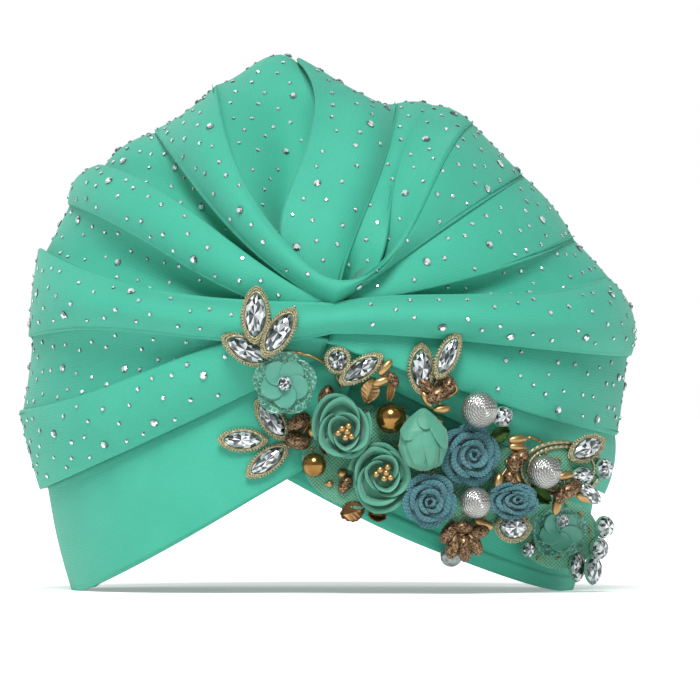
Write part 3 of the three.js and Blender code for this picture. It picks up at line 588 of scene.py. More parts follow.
def band_grid(side):
    """The ruled surface from the tuck inside the crown down to the rim, with a slight belly. A turned-up hem
    is thicker than the cloth above it, which lies a little further in."""
    degrees = np.linspace(-BAND_CROSS, 180 - SEAM_GAP_ANGLE, BAND_ROWS)
    top = band_top(side, degrees)
    level = top.copy()
    level[:, 2] = 0
    normal = outward(level)
    inset = BAND_WALL + BAND_CLEAR + BAND_BACK["inset"] * smooth(degrees, BAND_BACK["fade"])
    top = top - normal * inset[:, None]
    rim = band_rim(side, degrees)
    tuck = top + unit(top - rim) * BAND_TUCK
    belly = BAND_BULGE * np.sin(np.pi * BAND_SHARES) - side["hem"] * (1 - smooth(BAND_SHARES, HEM_EDGE))
    face = mix(top[:, None], rim[:, None], BAND_SHARES[None, :, None])
    face = face + normal[:, None] * belly[None, :, None]
    under = side["under"] * (1 - smooth(degrees, BAND_UNDER_FADE))
    grid = np.concatenate([tuck[:, None], face], axis=1) - normal[:, None] * under[:, None, None]
    return grid[:, ::-1] if side["fold"] == 0 else grid


bands = []
for side in BAND_SIDES:
    grid = band_grid(side)
    band = make_piece(side["name"] + "_cloth", patch(grid), mint_knit,
                      across=cloth_map(grid), wall=BAND_WALL)
    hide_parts(side["name"])
    bands.append(grid)
    print(side["name"], "square metres:", round(half_area(grid), 4))

# %% [markdown]
# ## Stones pressed onto the pleats
# Hundreds of small glass stones are pressed onto the crown, none of them in a row. Points are drawn at
# random on the cloth and kept only where no kept stone is near, which gives the even scatter of a hand
# that looks for bare spots. Each stone is a low dome of eight sides with a flat table, and its facets carry
# painted reflections: a brightness of their own, darkest at the foot and brightest on the table.

# %% Scatter of stones
STONE_SPACING = 6.7
LARGE_SPACING = 23
STONE_TRIES = 9000
SMALL_STONE = (0.68, 0.88)  # half widths
LARGE_STONE = (1.35, 1.55)
STONE_SIDES = 8
STONE_ROWS = (0.08, 1.75)  # from the knot to the back, as for the folds
STONE_SHARES = (0.1, 0.9)  # across a pleat
BEHIND_CORSAGE = {"x": (-34, 58), "top": 89}
# Painted reflections on the small stones: a range of brightness for each ring of facets.
PAINTED_STONE_GLINTS = [(0, 0), (0.05, 0.3), (0.2, 1), (0.85, 1)]  # brightness of foot, girdle, crown and table


def dome_stone(sides):
    """Rings of a low dome: foot, girdle and table, then a middle point, turned about its own axis."""
    ring = np.arange(sides) * 2 * np.pi / sides
    levels = [(0, 0), (1, 0), (1, 0.25), (0.6, 0.65), (0, 0.65)]
    rings = [np.stack([r * np.cos(ring), r * np.sin(ring), np.full(sides, h)], axis=-1) for r, h in levels]
    return patch(np.stack(rings), closed=True)


def cloth_normals(grid):
    """Across the rows times down the columns: the direction that the cloth faces."""
    normal = unit(np.cross(np.gradient(grid, axis=1), np.gradient(grid, axis=0)))
    return normal * np.where(np.sum(normal * outward(grid.copy()), axis=-1, keepdims=True) < 0, -1, 1)


def scatter(spots, spacing):
    """Takes spots in their random order and keeps each that is at least a spacing from all kept ones."""
    kept = np.empty((0, 3))
    chosen = []
    for k, spot in enumerate(spots):
        if np.all(np.sum((kept - spot) ** 2, axis=1) > spacing ** 2):
            kept = np.vstack([kept, spot])
            chosen.append(k)
    return np.array(chosen)


def stone_spots():
    """Spots drawn on open pleats, as often as their cloth is large, away from edges and the corsage."""
    size = np.linalg.norm(np.cross(np.gradient(crown_grid, axis=0), np.gradient(crown_grid, axis=1)), axis=-1)
    share = np.full(crown_marks.shape, -1.0)
    share[crown_marks >= 0] = np.tile(ACROSS, PLEATS)
    open_cloth = (share > STONE_SHARES[0]) & (share < STONE_SHARES[1]) & (crown_marks < PLEATS - 1)
    usual = ((rows > STONE_ROWS[0]) & (rows < STONE_ROWS[1]))[:, None] & open_cloth[None, :]
    x, y, z = np.moveaxis(crown_grid, -1, 0)
    left, right = BEHIND_CORSAGE["x"]
    hidden = (x > left) & (x < right) & (z < BEHIND_CORSAGE["top"]) & (y < 0)
    weight = size * (usual & ~hidden)
    cells = dice.choice(weight.size, size=STONE_TRIES, p=(weight / weight.sum()).ravel())
    return crown_grid.reshape(-1, 3)[cells], cloth_normals(crown_grid).reshape(-1, 3)[cells]


def facing_axes(normals):
    """Three axes for each place: two along the cloth and the third straight out of it."""
    first = unit(np.cross(np.array([0.0, 0.0, 1.0]), normals))
    return np.stack([first, np.cross(normals, first), normals], axis=1)


def paint_facet_reflections(piece, painted_brightness):
    """Paints a reflection on every face of a stone: a brightness of its own, which the stone finish turns
    into colour.
    """
    layer = piece.data.attributes.new("facet", "FLOAT", "FACE")
    layer.data.foreach_set("value", painted_brightness.astype(np.float32))


def painted_reflection_finish():
    """Foiled glass with painted reflections: every facet's colour is a brightness of its own that stands in
    for the piece of the room it would mirror.
    """
    finish = Finish("cut stone", Metallic=0.35, Roughness=0.07, Coat_Weight=1.0, Coat_Roughness=0.03)
    shade = finish.node("ShaderNodeAttribute", {"attribute_name": "facet"}, output="Fac")
    stops = [(0.0, paint(30, 36, 38)), (0.45, paint(112, 122, 124)), (0.75, paint(190, 200, 202)),
             (1.0, paint(246, 248, 250))]
    painted_reflection_colour = finish.node("ShaderNodeValToRGB", {"stops": stops}, {"Fac": shade}, output="Color")
    finish.drive("Base Color", painted_reflection_colour)
    return finish.material


# The stones' colour is painted reflection, one brightness for each facet.
facets = painted_reflection_finish()
spots, normals = stone_spots()
large = scatter(spots, LARGE_SPACING)
order = np.concatenate([large, np.setdiff1d(np.arange(len(spots)), large)])
small = order[scatter(spots[order], STONE_SPACING)]
small = np.setdiff1d(small, large)
for name, chosen, limits in [("stones_small", small, SMALL_STONE), ("stones_large", large, LARGE_STONE)]:
    sizes = dice.uniform(*limits, len(chosen))
    shape = copies(dome_stone(STONE_SIDES), spots[chosen], facing_axes(normals[chosen]), sizes)
    piece = make_piece(name, shape, facets, flat_shaded=True)
    # Painted reflections: each facet of each stone gets a random brightness within its ring's range.
    painted_glints = [dice.uniform(low, high, (len(chosen), STONE_SIDES)) for low, high in PAINTED_STONE_GLINTS]
    paint_facet_reflections(piece, np.concatenate(painted_glints, axis=1).ravel())
    print(name, len(chosen))

# %% [markdown]
# ## Where the corsage sits
# The corsage pieces are sewn on over one another and lean outwards with the side of the head. Each solid
# already rests on what carries it, so a finer piece takes its foot from the solid: the plane of the
# solid's lowest points, seen along the direction in which the piece faces. Where the finer cloth swells
# a little further than the solid one did, the foot moves out with it.

# %% Seats of the corsage
LEAN = np.radians(38)
LEAN_AT = 95
CLOTH_NEAR = 12
CLOTH_CLEAR = 0.1
CLOTH_POINTS = np.concatenate([grid.reshape(-1, 3) for grid in [crown_grid, *bands]])


def node_points(node):
    """The corners of one solid of the hat, in millimetres in the frame of the head."""
    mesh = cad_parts[node].data
    corners = np.empty(len(mesh.vertices) * 3, dtype=np.float32)
    mesh.vertices.foreach_get("co", corners)
    return corners.reshape(-1, 3) / MM - (0, SETBACK, 0)


def seat(node, x, z):
    """The foot of a piece and its axes: to its right, up, and out of the cloth."""
    lean = LEAN * np.clip(x / LEAN_AT, -1, 1)
    axes = np.array([[np.cos(lean), np.sin(lean), 0], [0, 0, 1], [np.sin(lean), -np.cos(lean), 0]])
    out = axes[2]
    solid = node_points(node) @ axes.T
    low, high = solid.min(axis=0), solid.max(axis=0)
    cloth = CLOTH_POINTS @ axes.T
    beside = np.all((cloth[:, :2] > low[:2]) & (cloth[:, :2] < high[:2]), axis=1)
    beneath = beside & (cloth[:, 2] > low[2] - CLOTH_NEAR)
    level = max(low[2], cloth[beneath, 2].max() + CLOTH_CLEAR) if beneath.any() else low[2]
    return np.array([x, (level - x * out[0]) / out[1], z]), axes


def turned_in_plane(shape, x, y, roll):
    """A shape turned by its roll, in degrees, and moved in its own plane."""
    points, faces = shape
    turn = np.radians(roll)
    spin = np.array([[np.cos(turn), np.sin(turn), 0], [-np.sin(turn), np.cos(turn), 0], [0, 0, 1]])
    return points @ spin + (x, y, 0), faces


def set_down(shape, node, x, z, roll=0.0):
    """Turns a shape by its roll and carries it from its own axes to its seat."""
    points, faces = turned_in_plane(shape, 0, 0, roll)
    foot, axes = seat(node, x, z)
    return points @ axes + foot, faces


print("foot of the first gold ball:", seat("ball_gold_1", 21, 60.5)[0].round(1))

# %% [markdown]
# ## Shapes that come back
# Balls, pods and beads are circles turned about an axis. Cords are a circle carried along a path. Cut
# stones are rings of corners, each ring turned half a step from the last, so that every face is a facet.

# %% Turned, corded and cut shapes
def turned(radius, height, sides):
    """Circles about the z axis: one for each radius and height, from the foot to the top."""
    ring = np.arange(sides) * 2 * np.pi / sides
    around = np.stack([np.cos(ring), np.sin(ring)], axis=-1)
    flat = radius[:, None, None] * around[None]
    level = np.broadcast_to(height[:, None, None], (len(height), sides, 1))
    return patch(np.concatenate([flat, level], axis=-1), closed=True)


def ball(diameter, sides=32, rows=18):
    """A sphere that stands on z 0: the sine and cosine of the angle from its foot to its top."""
    angle = np.linspace(0, np.pi, rows)
    return turned(0.5 * diameter * np.sin(angle), 0.5 * diameter * (1 - np.cos(angle)), sides)


def pod(length, width, sides=16, rows=12):
    """A ball drawn out along x and lying on z 0."""
    points, faces = ball(1.0, sides, rows)
    x, y, z = (points - (0, 0, 0.5)).T
    return np.stack([z * length, x * width, (y + 0.5) * width], axis=-1), faces


def cord(path, radius, sides=6, closed=True):
    """A circle carried along a path: its centre on the path and its plane square to it."""
    run = unit(np.roll(path, -1, axis=0) - np.roll(path, 1, axis=0) if closed else np.gradient(path, axis=0))
    side = unit(np.cross(np.array([0.0, 0.0, 1.0]), run))
    lift = np.cross(run, side)
    turn = np.arange(sides) * 2 * np.pi / sides
    ring = np.cos(turn)[None, :, None] * side[:, None] + np.sin(turn)[None, :, None] * lift[:, None]
    girth = np.broadcast_to(radius, len(path))[:, None, None]
    points = path[:, None] + ring * girth
    if closed:
        return patch(np.concatenate([points, points[:1]]), closed=True)
    first, last = [np.broadcast_to(end, ring[:1].shape) for end in (path[0], path[-1])]
    return patch(np.concatenate([first, points, last]), closed=True)


def boat(length, width, point, angle):
    """An outline from round, point 1, to boat-shaped, point 2: cosine along, a power of the sine across."""
    sine = np.sin(angle)
    across = sine * np.abs(sine) ** (point - 1)
    return np.stack([0.5 * length * np.cos(angle), 0.5 * width * across, 0 * angle], axis=-1)


def cut_stone(length, width, point, levels, sides):
    """Rings of corners, each turned half a step from the ring below: two facets a side between rings."""
    rings = []
    for k, (scale, height) in enumerate(levels):
        angle = (np.arange(sides) + 0.5 * (k % 2)) * 2 * np.pi / sides
        rings.append(boat(length, width, point, angle) * scale + (0, 0, height))
    points = np.concatenate(rings)
    place = np.arange(sides)
    after = (place + 1) % sides
    facets = []
    for k in range(len(levels) - 1):
        low = k * sides
        high = low + sides
        near = place if k % 2 == 0 else after
        facets.append(np.stack([low + place, low + after, high + near], axis=-1))
        facets.append(np.stack([low + after, high + (near + 1) % sides, high + near], axis=-1))
    return points, np.concatenate(facets)


BEAD = ball(1.0, sides=8, rows=6)
print("bead faces:", len(BEAD[1]))

# %% [markdown]
# ## Finishes of the corsage
# Each finish is named for what it is on the hat. Metals are told apart by colour and roughness, glitter is
# a crowd of tiny flat cells, each with its own brightness, and ribbon has its weave on its own map.

# %% Metals, glitter and glass
def metal_finish(name, light, dark, rough, size):
    """A metal whose colour drifts between two tones, rougher where it is darker."""
    finish = Finish(name, Metallic=0.95)
    cloud = finish.noise(size, detail=4.0)
    finish.drive("Base Color", finish.blend(cloud, dark, light))
    finish.drive("Roughness", rough + 0.18 * (1 - cloud))
    finish.relief(cloud, 0.05)
    return finish.material


def glitter_finish(name, light, dark, size):
    """Glued flakes: flat cells of random brightness that stand up by random amounts."""
    finish = Finish(name, Metallic=0.6, Roughness=0.35)
    flake = finish.flakes(size)
    finish.drive("Base Color", finish.blend(flake ** 1.6, dark, light))
    finish.relief(flake, 0.35)
    return finish.material


gold = metal_finish("polished gold", paint(196, 152, 86), paint(112, 78, 38), 0.1, 4)
satin_gold = metal_finish("satin gold", paint(220, 184, 130), paint(146, 110, 66), 0.28, 2)
thread_gold = metal_finish("gold thread", paint(214, 206, 170), paint(112, 108, 82), 0.4, 0.6)
bronze_glitter = glitter_finish("bronze glitter", paint(180, 144, 106), paint(46, 33, 22), 0.42)
gold_glitter = glitter_finish("gold glitter", paint(214, 200, 158), paint(112, 96, 62), 0.5)
print("corsage finishes ready")

# %% [markdown]
# ## Lace that carries the corsage
# Four ovals of mint net lie on the cloth under everything else. Each is a thin disc with a rounded edge and
# seed beads sewn on at random. The upper wing at the right also has two cords sewn round it.

# %% Corded net
BACKINGS = table(["name", "x", "z", "width", "height", "cords"], [
    ("lace_centre", 14, 47, 46, 36, []),
    ("lace_right", 51, 38, 40, 30, []),
    ("wing_upper", 80, 43, 34, 19, [0.97, 0.8]),
    ("wing_lower", 80, 20, 32, 24, []),
])
LACE_THICK = 1.0
LACE_CORD = {"radius": 0.7, "lift": 0.3, "points": 160, "twists": 40}
SEEDS = 22
SEED_SIZES = (0.9, 1.5)
SEED_REACH = (0.05, 0.9)
NET_PITCH = 1.3
OVAL_SIDES = 48
TWIST_SWELL = 0.22  # of a cord's radius
UPRIGHT = np.eye(3)


def net_finish():
    """Net: two sets of threads that cross, as waves along x and z, over a darker ground."""
    finish = Finish("corded net", Roughness=0.7, Sheen_Weight=0.2)
    place = finish.place()
    across = finish.axis(place, "X")
    up = finish.axis(place, "Z")
    pitch = 2 * np.pi / (NET_PITCH * MM)
    threads = ((across + up) * pitch).wave() * 0.5 + ((across - up) * pitch).wave() * 0.5
    finish.relief(threads, 0.3)
    cloud = finish.noise(6)
    ground = finish.blend(cloud, paint(48, 148, 120), paint(72, 154, 124))
    finish.drive("Base Color", finish.blend(threads ** 2, ground, paint(134, 176, 144)))
    return finish.material


def oval_disc(width, height, thick):
    """A flat oval with a rounded edge: rings from the middle of the foot to the middle of the top."""
    angle = np.arange(OVAL_SIDES) * 2 * np.pi / OVAL_SIDES
    levels = [(0, 0), (0.96, 0), (1, 0.3 * thick), (1, 0.7 * thick), (0.97, thick), (0.6, thick), (0, thick)]
    rings = [boat(width, height, 1, angle) * scale + (0, 0, level) for scale, level in levels]
    return patch(np.stack(rings), closed=True)


def rope(outline, scale, level, radius, twist):
    """A cord along an outline, thicker and thinner by turns as its strands come round."""
    path = outline * scale + (0, 0, level)
    count = len(path)
    swell = 1 + TWIST_SWELL * np.cos(2 * np.pi * twist * np.arange(count) / count)
    return cord(path, radius * swell)


net = net_finish()
ropes = []
seeds = []
for row in BACKINGS:
    disc = set_down(oval_disc(row["width"], row["height"], LACE_THICK), row["name"], row["x"], row["z"])
    piece = make_piece(row["name"] + "_net", disc, net)
    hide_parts(row["name"])
    row["width"] * MM
    row["height"] * MM
    0.25 * np.pi * row["width"] * row["height"] * MM * MM
    turns = np.arange(LACE_CORD["points"]) * 2 * np.pi / LACE_CORD["points"]
    outline = boat(row["width"], row["height"], 1, turns)
    for scale in row["cords"]:
        level = LACE_THICK + LACE_CORD["lift"]
        shape = rope(outline, scale, level, LACE_CORD["radius"], LACE_CORD["twists"])
        ropes.append(set_down(shape, row["name"], row["x"], row["z"]))
    angle = dice.uniform(0, 2 * np.pi, SEEDS)
    reach = np.sqrt(dice.uniform(*SEED_REACH, SEEDS))
    spots = boat(row["width"], row["height"], 1, angle) * reach[:, None] + (0, 0, LACE_THICK)
    upright = np.broadcast_to(UPRIGHT, (SEEDS, 3, 3))
    scatter_beads = copies(BEAD, spots, upright, dice.uniform(*SEED_SIZES, SEEDS))
    seeds.append(set_down(scatter_beads, row["name"], row["x"], row["z"]))
make_piece("lace_cords", joined(ropes), thread_gold)
make_piece("seed_beads", joined(seeds), satin_gold)

# %% [markdown]
# ## Cut stones in their settings
# The large stones are boat-shaped, round or pear-shaped, clear and foiled. Their facets flash light and dark
# with painted reflections: each facet's colour is a brightness of its own. Each sits on a small pad. Most
# have a cord round them and two rows of tiny beads outside that. A few glassy ones, mostly at the right, have
# no cord.

# %% Large stones
CRYSTALS = table(["name", "x", "z", "length", "width", "point", "roll", "corded"], [
    ("crystal_knot_1", -24.5, 96, 13.5, 6.5, 2, 88, True),
    ("crystal_knot_2", -16.5, 90, 13.5, 6, 2, 57, True),
    ("crystal_knot_3", -27.5, 84, 13.5, 6, 2, -28, True),
    ("crystal_band_1", -29, 53, 12, 5.2, 2, 0, True),
    ("crystal_band_2", -19, 60, 12, 5.5, 2, -52, True),
    ("crystal_band_3", -20.5, 46, 12.5, 5.2, 2, 37, True),
    ("crystal_centre_1", 3.5, 80.5, 6, 6, 1, 0, True),
    ("crystal_centre_2", 11.5, 77.5, 12, 5, 2, 33, True),
    ("crystal_roll_1", 32, 77.5, 12, 6.2, 2, 90, True),
    ("crystal_roll_2", 41, 82, 12, 5, 2, 64, True),
    ("crystal_wing_1", 89, 50, 11.5, 5.8, 2, 20, True),
    ("crystal_wing_2", 95, 43, 6, 6, 1, 0, False),
    ("crystal_wing_3", 87.5, 40.5, 8.5, 5, 2, 0, False),
    ("crystal_wing_4", 90, 34.5, 10, 4.5, 2, -35, False),
    ("crystal_tip_1", 95.5, 22.5, 6.5, 6.5, 1, 0, False),
    ("crystal_tip_2", 93.6, 15, 6.4, 6.4, 1, 0, False),
    ("crystal_tip_3", 86, 8.8, 9.6, 5.4, 2, 90, False),
    ("crystal_tip_4", 91.5, 7.8, 9.4, 5.8, 2, 90, False),
    ("crystal_pear", 63.5, 23, 9.5, 6.8, 1.5, 0, True),
    ("crystal_small", 69, 15, 4.6, 4.6, 1, 0, False),
    ("crystal_leaf", 60, 61, 7.4, 6, 3, 30, False),
])
CRYSTAL_SIDES = 14
STONE_RISES = [(0.9, 0), (1, 0.3), (0.8, 0.72), (0.52, 1), (0, 1)]  # size and height of each ring
# Painted reflections: each facet's brightness is drawn from this beta spread.
PAINTED_REFLECTION_SPREAD = (0.5, 0.55)  # of a beta draw: mostly light or dark, seldom between
CRYSTAL_RISE = 0.42  # of the width
SOFTER = 0.3  # how far a boat's ends are drawn to a point
PLUMP = {True: 1.12, False: 1.15}  # with a cord and without
PAD = {"scale": 1.36, "bare": 1.06, "thick": 0.9}
STONE_CORD = {"points": 60, "scale": 1.12, "radius": 0.5, "twists": 15}
FRINGE_PITCH = 0.85
FRINGE_SIZES = (0.7, 1.05)
FRINGE_ROWS = [(1.0, 0.3), (0.92, 0.6)]  # size of each row of beads and its height


def stone_outline(row):
    """Length, width and point of a stone: plumper across than its solid, with its ends a little rounder."""
    point = 1 + SOFTER * (row["point"] - 1)
    plump = PLUMP[row["corded"]]
    return row["length"] * (1 + 0.5 * (plump - 1)), row["width"] * plump, point


def large_stone(row):
    """Foot, girdle, two rings of crown facets and the table, closed at its middle."""
    height = CRYSTAL_RISE * row["width"]
    levels = [(scale, PAD["thick"] + share * height) for scale, share in STONE_RISES]
    return cut_stone(*stone_outline(row), levels, CRYSTAL_SIDES)


stones = []
pads = []
fringes = []
for row in CRYSTALS:
    place = (row["name"], row["x"], row["z"], row["roll"])
    stones.append(set_down(large_stone(row), *place))
    turns = np.linspace(0, 2 * np.pi, STONE_CORD["points"], endpoint=False)
    outline = boat(*stone_outline(row), turns)
    brim = PAD["scale"] if row["corded"] else PAD["bare"]
    levels = [(0, 0), (0.97 * brim, 0), (brim, 0.4), (0.94 * brim, PAD["thick"]), (0, PAD["thick"])]
    pad = np.stack([outline * scale + (0, 0, height) for scale, height in levels])
    pads.append(set_down(patch(pad, closed=True), *place))
    if row["corded"]:
        setting = rope(outline, STONE_CORD["scale"], PAD["thick"], STONE_CORD["radius"], STONE_CORD["twists"])
        fringes.append(set_down(setting, *place))
        loop = outline * PAD["scale"]
        around = np.linalg.norm(np.diff(loop, axis=0, append=loop[:1]), axis=-1).sum()
        count = int(around / FRINGE_PITCH)
        ring = boat(*stone_outline(row), np.arange(count) * 2 * np.pi / count) * PAD["scale"]
        upright = np.broadcast_to(UPRIGHT, (count, 3, 3))
        for shrink, lift in FRINGE_ROWS:
            beads = copies(BEAD, ring * shrink + (0, 0, lift), upright, dice.uniform(*FRINGE_SIZES, count))
            fringes.append(set_down(beads, *place))
cut_stones = make_piece("cut_stones", joined(stones), facets, flat_shaded=True)
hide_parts(*[row["name"] for row in CRYSTALS])
# Painted reflections: a random brightness for each facet of the large stones.
paint_facet_reflections(cut_stones, dice.beta(*PAINTED_REFLECTION_SPREAD, len(cut_stones.data.polygons)))
make_piece("stone_pads", joined(pads), net)
make_piece("stone_fringes", joined(fringes), thread_gold)

# %% [markdown]
# ## Loose cords
# A gold cord trails from the stones at the knot towards those in the middle, and others curl out between
# the roses. Each is a few points on the picture plane, joined by a smooth curve and laid on the cloth.

# %% Gold cords
CORDS = [
    [(-22, 84), (-12, 83.5), (-4, 81.5), (2, 77.5), (5, 71)],
    [(30, 72), (36, 76.5), (42, 75), (45, 70), (40, 67)],
    [(63, 53), (71, 54), (77, 50), (80, 44)],
]
CORD_RADIUS = 0.55
CORD_REACH = 4  # how near the cloth's points count


def laid_cord(corners):
    """A path through the corners, eased by three passes of averaging, at the front of the cloth below."""
    corners = np.array(corners, dtype=float)
    share = np.linspace(0, len(corners) - 1, 48)
    path = np.stack([np.interp(share, np.arange(len(corners)), corners[:, k]) for k in (0, 1)], axis=-1)
    for _ in range(3):
        path[2:-2] = (path[:-4] + path[1:-3] + path[2:-2] + path[3:-1] + path[4:]) / 5
    away = np.hypot(CLOTH_POINTS[None, :, 0] - path[:, :1], CLOTH_POINTS[None, :, 2] - path[:, 1:])
    front = np.where(away < CORD_REACH, CLOTH_POINTS[None, :, 1], 0).min(axis=1)
    points = np.stack([path[:, 0], front - CORD_RADIUS, path[:, 1]], axis=-1)
    return cord(points, CORD_RADIUS, closed=False)


make_piece("loose_cords", joined([laid_cord(corners) for corners in CORDS]), satin_gold)

# %% [markdown]
# ## Balls
# Two balls are polished gold, three are pearls wrapped in silver mesh, and one is clear glass. The mesh is
# too fine to model thread by thread, so the finish draws its crossing wires on each pearl's own map.

# %% Gold, silver and glass balls
BALLS = table(["name", "x", "z", "diameter", "slot"], [
    ("ball_gold_1", 21, 60.5, 10.5, "gold"),
    ("ball_gold_2", -4.5, 44.5, 8.4, "gold"),
    ("pearl_1", 50, 63.5, 12.5, "pearl"),
    ("pearl_2", 72, 42, 11.5, "pearl"),
    ("pearl_3", 49, 31.5, 10.8, "pearl"),
    ("ball_glass", 41.5, 13, 7.6, "crystal"),
])
BALL_SIDES = 40
BALL_ROWS = 24
MESH = {"rings": 1.0, "spokes": 1.5}  # mm from wire to wire
RING_SHARE = 0.6
WIRE_SHARE = 0.7  # of the pearl's colour; the rest is cloudiness


def pearl_finish():
    """Silver wire mesh over a bead: crossed waves on the ball's own map, dark in the gaps between wires."""
    finish = Finish("mesh-wrapped pearl", Metallic=0.85, Coat_Weight=0.2)
    wrap = finish.own_map()
    wander = finish.noise(2.5) * 1.5
    rings = (finish.axis(wrap, "Y") * (2 * np.pi / (MESH["rings"] * MM)) + wander).wave()
    spokes = (finish.axis(wrap, "X") * (2 * np.pi / (MESH["spokes"] * MM)) + wander).wave()
    wires = rings * RING_SHARE + spokes * (1 - RING_SHARE)
    finish.relief(wires, 0.22)
    finish.drive("Roughness", 0.42 - 0.2 * wires)
    tone = wires * WIRE_SHARE + finish.noise(5) * (1 - WIRE_SHARE)
    finish.drive("Base Color", finish.blend(tone, paint(104, 106, 105), paint(228, 228, 224)))
    return finish.material


def glass_finish():
    """Crackled glass with a silver heart: cells of uneven brightness and roughness."""
    finish = Finish("crackled glass", Transmission_Weight=0.3, IOR=1.5, Metallic=0.35, Coat_Weight=0.8)
    crackle = finish.grains(1.6, output="Distance")
    finish.drive("Base Color", finish.blend(crackle, paint(84, 90, 90), paint(196, 202, 200)))
    finish.drive("Roughness", 0.08 + 0.2 * crackle)
    return finish.material


ball_finishes = {"gold": gold, "pearl": pearl_finish(), "crystal": glass_finish()}
for row in BALLS:
    points, faces = ball(row["diameter"], sides=BALL_SIDES, rows=BALL_ROWS)
    wrap = cloth_map(points.reshape(BALL_ROWS, BALL_SIDES, 3))
    shape = set_down((points, faces), row["name"], row["x"], row["z"])
    piece = make_piece(row["name"] + "_round", shape, ball_finishes[row["slot"]], across=wrap)
    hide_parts(row["name"])

# %% [markdown]
# ## Leaves
# The leaves are stamped foil and glittered felt: a pointed outline, folded up along the middle rib. The
# side ribs are pressed lines, so they are in the shape itself as shallow waves that slant to the tip.

# %% Leaves
LEAVES = table(["name", "x", "z", "length", "width", "roll", "slot"], [
    ("leaf_gold_1", 14.5, 70, 8.5, 6.5, 70, "gold"),
    ("leaf_gold_2", 21.5, 70, 7, 2.6, 80, "gold"),
    ("leaf_bronze_1", 8.5, 28.5, 8.5, 7, 20, "bronze"),
    ("leaf_bronze_2", 17, 27, 6, 4, -10, "bronze"),
    ("leaf_green_1", 58.5, 54.5, 9, 5, 30, "green"),
    ("leaf_green_2", 73, 34, 9, 5, -35, "green"),
    ("leaf_glitter", 39, 71.5, 9.5, 5.5, 75, "bronze"),
])
LEAF_FOLD = 1.2
LEAF_RIBS = {"count": 6, "slant": 0.18, "depth": 0.13}
LEAF_WALL = 0.5


def leaf(length, width):
    """Along x from stalk to tip and across y: the half width is a power of a sine, and z is the fold of
    the two halves with small slanting waves."""
    along = np.linspace(0.02, 0.98, 36)[None, :]
    across = np.linspace(-1, 1, 15)[:, None]
    half = 0.5 * width * np.sin(np.pi * along) ** 0.8
    away = np.abs(across)
    wave = np.cos(2 * np.pi * LEAF_RIBS["count"] * (along - LEAF_RIBS["slant"] * away))
    z = LEAF_WALL + (LEAF_FOLD + LEAF_RIBS["depth"] * wave) * away
    x = np.broadcast_to(length * (along - 0.5), z.shape)
    return patch(np.stack([x, half * across, z], axis=-1))


bronze = metal_finish("aged bronze", paint(138, 104, 66), paint(52, 36, 24), 0.34, 3)
green = metal_finish("dark green foil", paint(70, 102, 48), paint(26, 44, 18), 0.45, 2)
leaf_finishes = {"gold": satin_gold, "bronze": bronze, "green": green}
for row in LEAVES:
    shape = set_down(leaf(row["length"], row["width"]), row["name"], row["x"], row["z"], row["roll"])
    finish = gold_glitter if row["name"] == "leaf_glitter" else leaf_finishes[row["slot"]]
    piece = make_piece(row["name"] + "_blade", shape, finish, wall=LEAF_WALL)
    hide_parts(row["name"])

# %% [markdown]
# ## Sprays of pods and pips
# Sprays fill the gaps: bronze pods rolled in glitter and smooth gold pips, each on a thin wire stem that
# starts at the middle of its spray.

# %% Sprays
# Each pod and pip has its place in the spray, x and y, then its length, width and roll.
SPRAYS = [
    {"name": "spray_left", "x": -6.5, "z": 58.5,
     "pods": [(6, 9.7, 8, 5, 65), (-3.3, 0.8, 9, 6, 35), (-3.6, -5.8, 9, 6, -15)],
     "pips": [(1.5, -2.5, 5, 3.4, 70)]},
    {"name": "spray_upper", "x": 38, "z": 66.5,
     "pods": [(-1, 2.1, 9, 5.4, 30), (3, 4.8, 7, 4.4, 65), (-4.5, 5, 8, 4, -40)],
     "pips": [(0.8, -2.8, 6.5, 2.6, 5), (-4.5, 0.5, 6.5, 2.4, -60)]},
    {"name": "spray_top", "x": 19, "z": 75.5, "pods": [(3.2, -1.5, 6, 3.6, -60)],
     "pips": [(0.6, 2.5, 7, 2.6, 50), (-0.8, -2.3, 6.5, 2.6, 20)]},
    {"name": "spray_lower", "x": 46, "z": 20.5,
     "pods": [(-5.5, 0.8, 9, 5.2, 55), (-3.8, -3.8, 9.5, 5, 75), (0.2, -4.8, 9.5, 5.4, 95),
              (3.8, -3.2, 9, 5, -60), (5.4, 0.8, 8, 5, 20), (0, 2.5, 7, 5, 0)],
     "pips": [(7.5, 3.6, 7.5, 3, -20), (-1.5, 1.5, 9, 2.6, -55)]},
    {"name": "spray_right_1", "x": 63, "z": 45.5,
     "pods": [(0, -0.5, 8, 5.5, 80), (2.8, 1.5, 7, 5, 40), (-1, -6, 6.5, 4.5, -70)],
     "pips": [(1.8, 7.7, 7.5, 2.8, 5), (1.8, 5, 7, 2.8, -5), (-0.4, -1.8, 7, 2.6, -45),
              (1, -4.8, 7, 2.6, -60), (-5.6, -7, 6.5, 3, 80)]},
    {"name": "spray_right_2", "x": 81.5, "z": 35,
     "pods": [(0.4, 0.7, 8.5, 5.5, 30), (-3, -1, 7, 5, 60), (3, 2, 6, 4.5, 0)],
     "pips": [(-0.7, 5.6, 7, 2.8, 10), (7.2, -2, 7, 2.6, -20), (-4.2, -4.6, 6.5, 2.8, 80)]},
]
STEM = {"radius": 0.45, "rise": 1.0}
PIP_WIDTH = 1.2  # pips are drawn this much wider than their rows say


def stem(x, y):
    """A wire from the middle of the spray to the middle of a pod."""
    path = np.linspace(0, 1, 6)[:, None] * (x, y, 0) + (0, 0, STEM["rise"])
    return cord(path, STEM["radius"], closed=False)


def laid_pods(pods, plump=1.0):
    """A pod for each row of a list, made wider by a factor."""
    return [turned_in_plane(pod(length, plump * width), x, y, roll) for x, y, length, width, roll in pods]


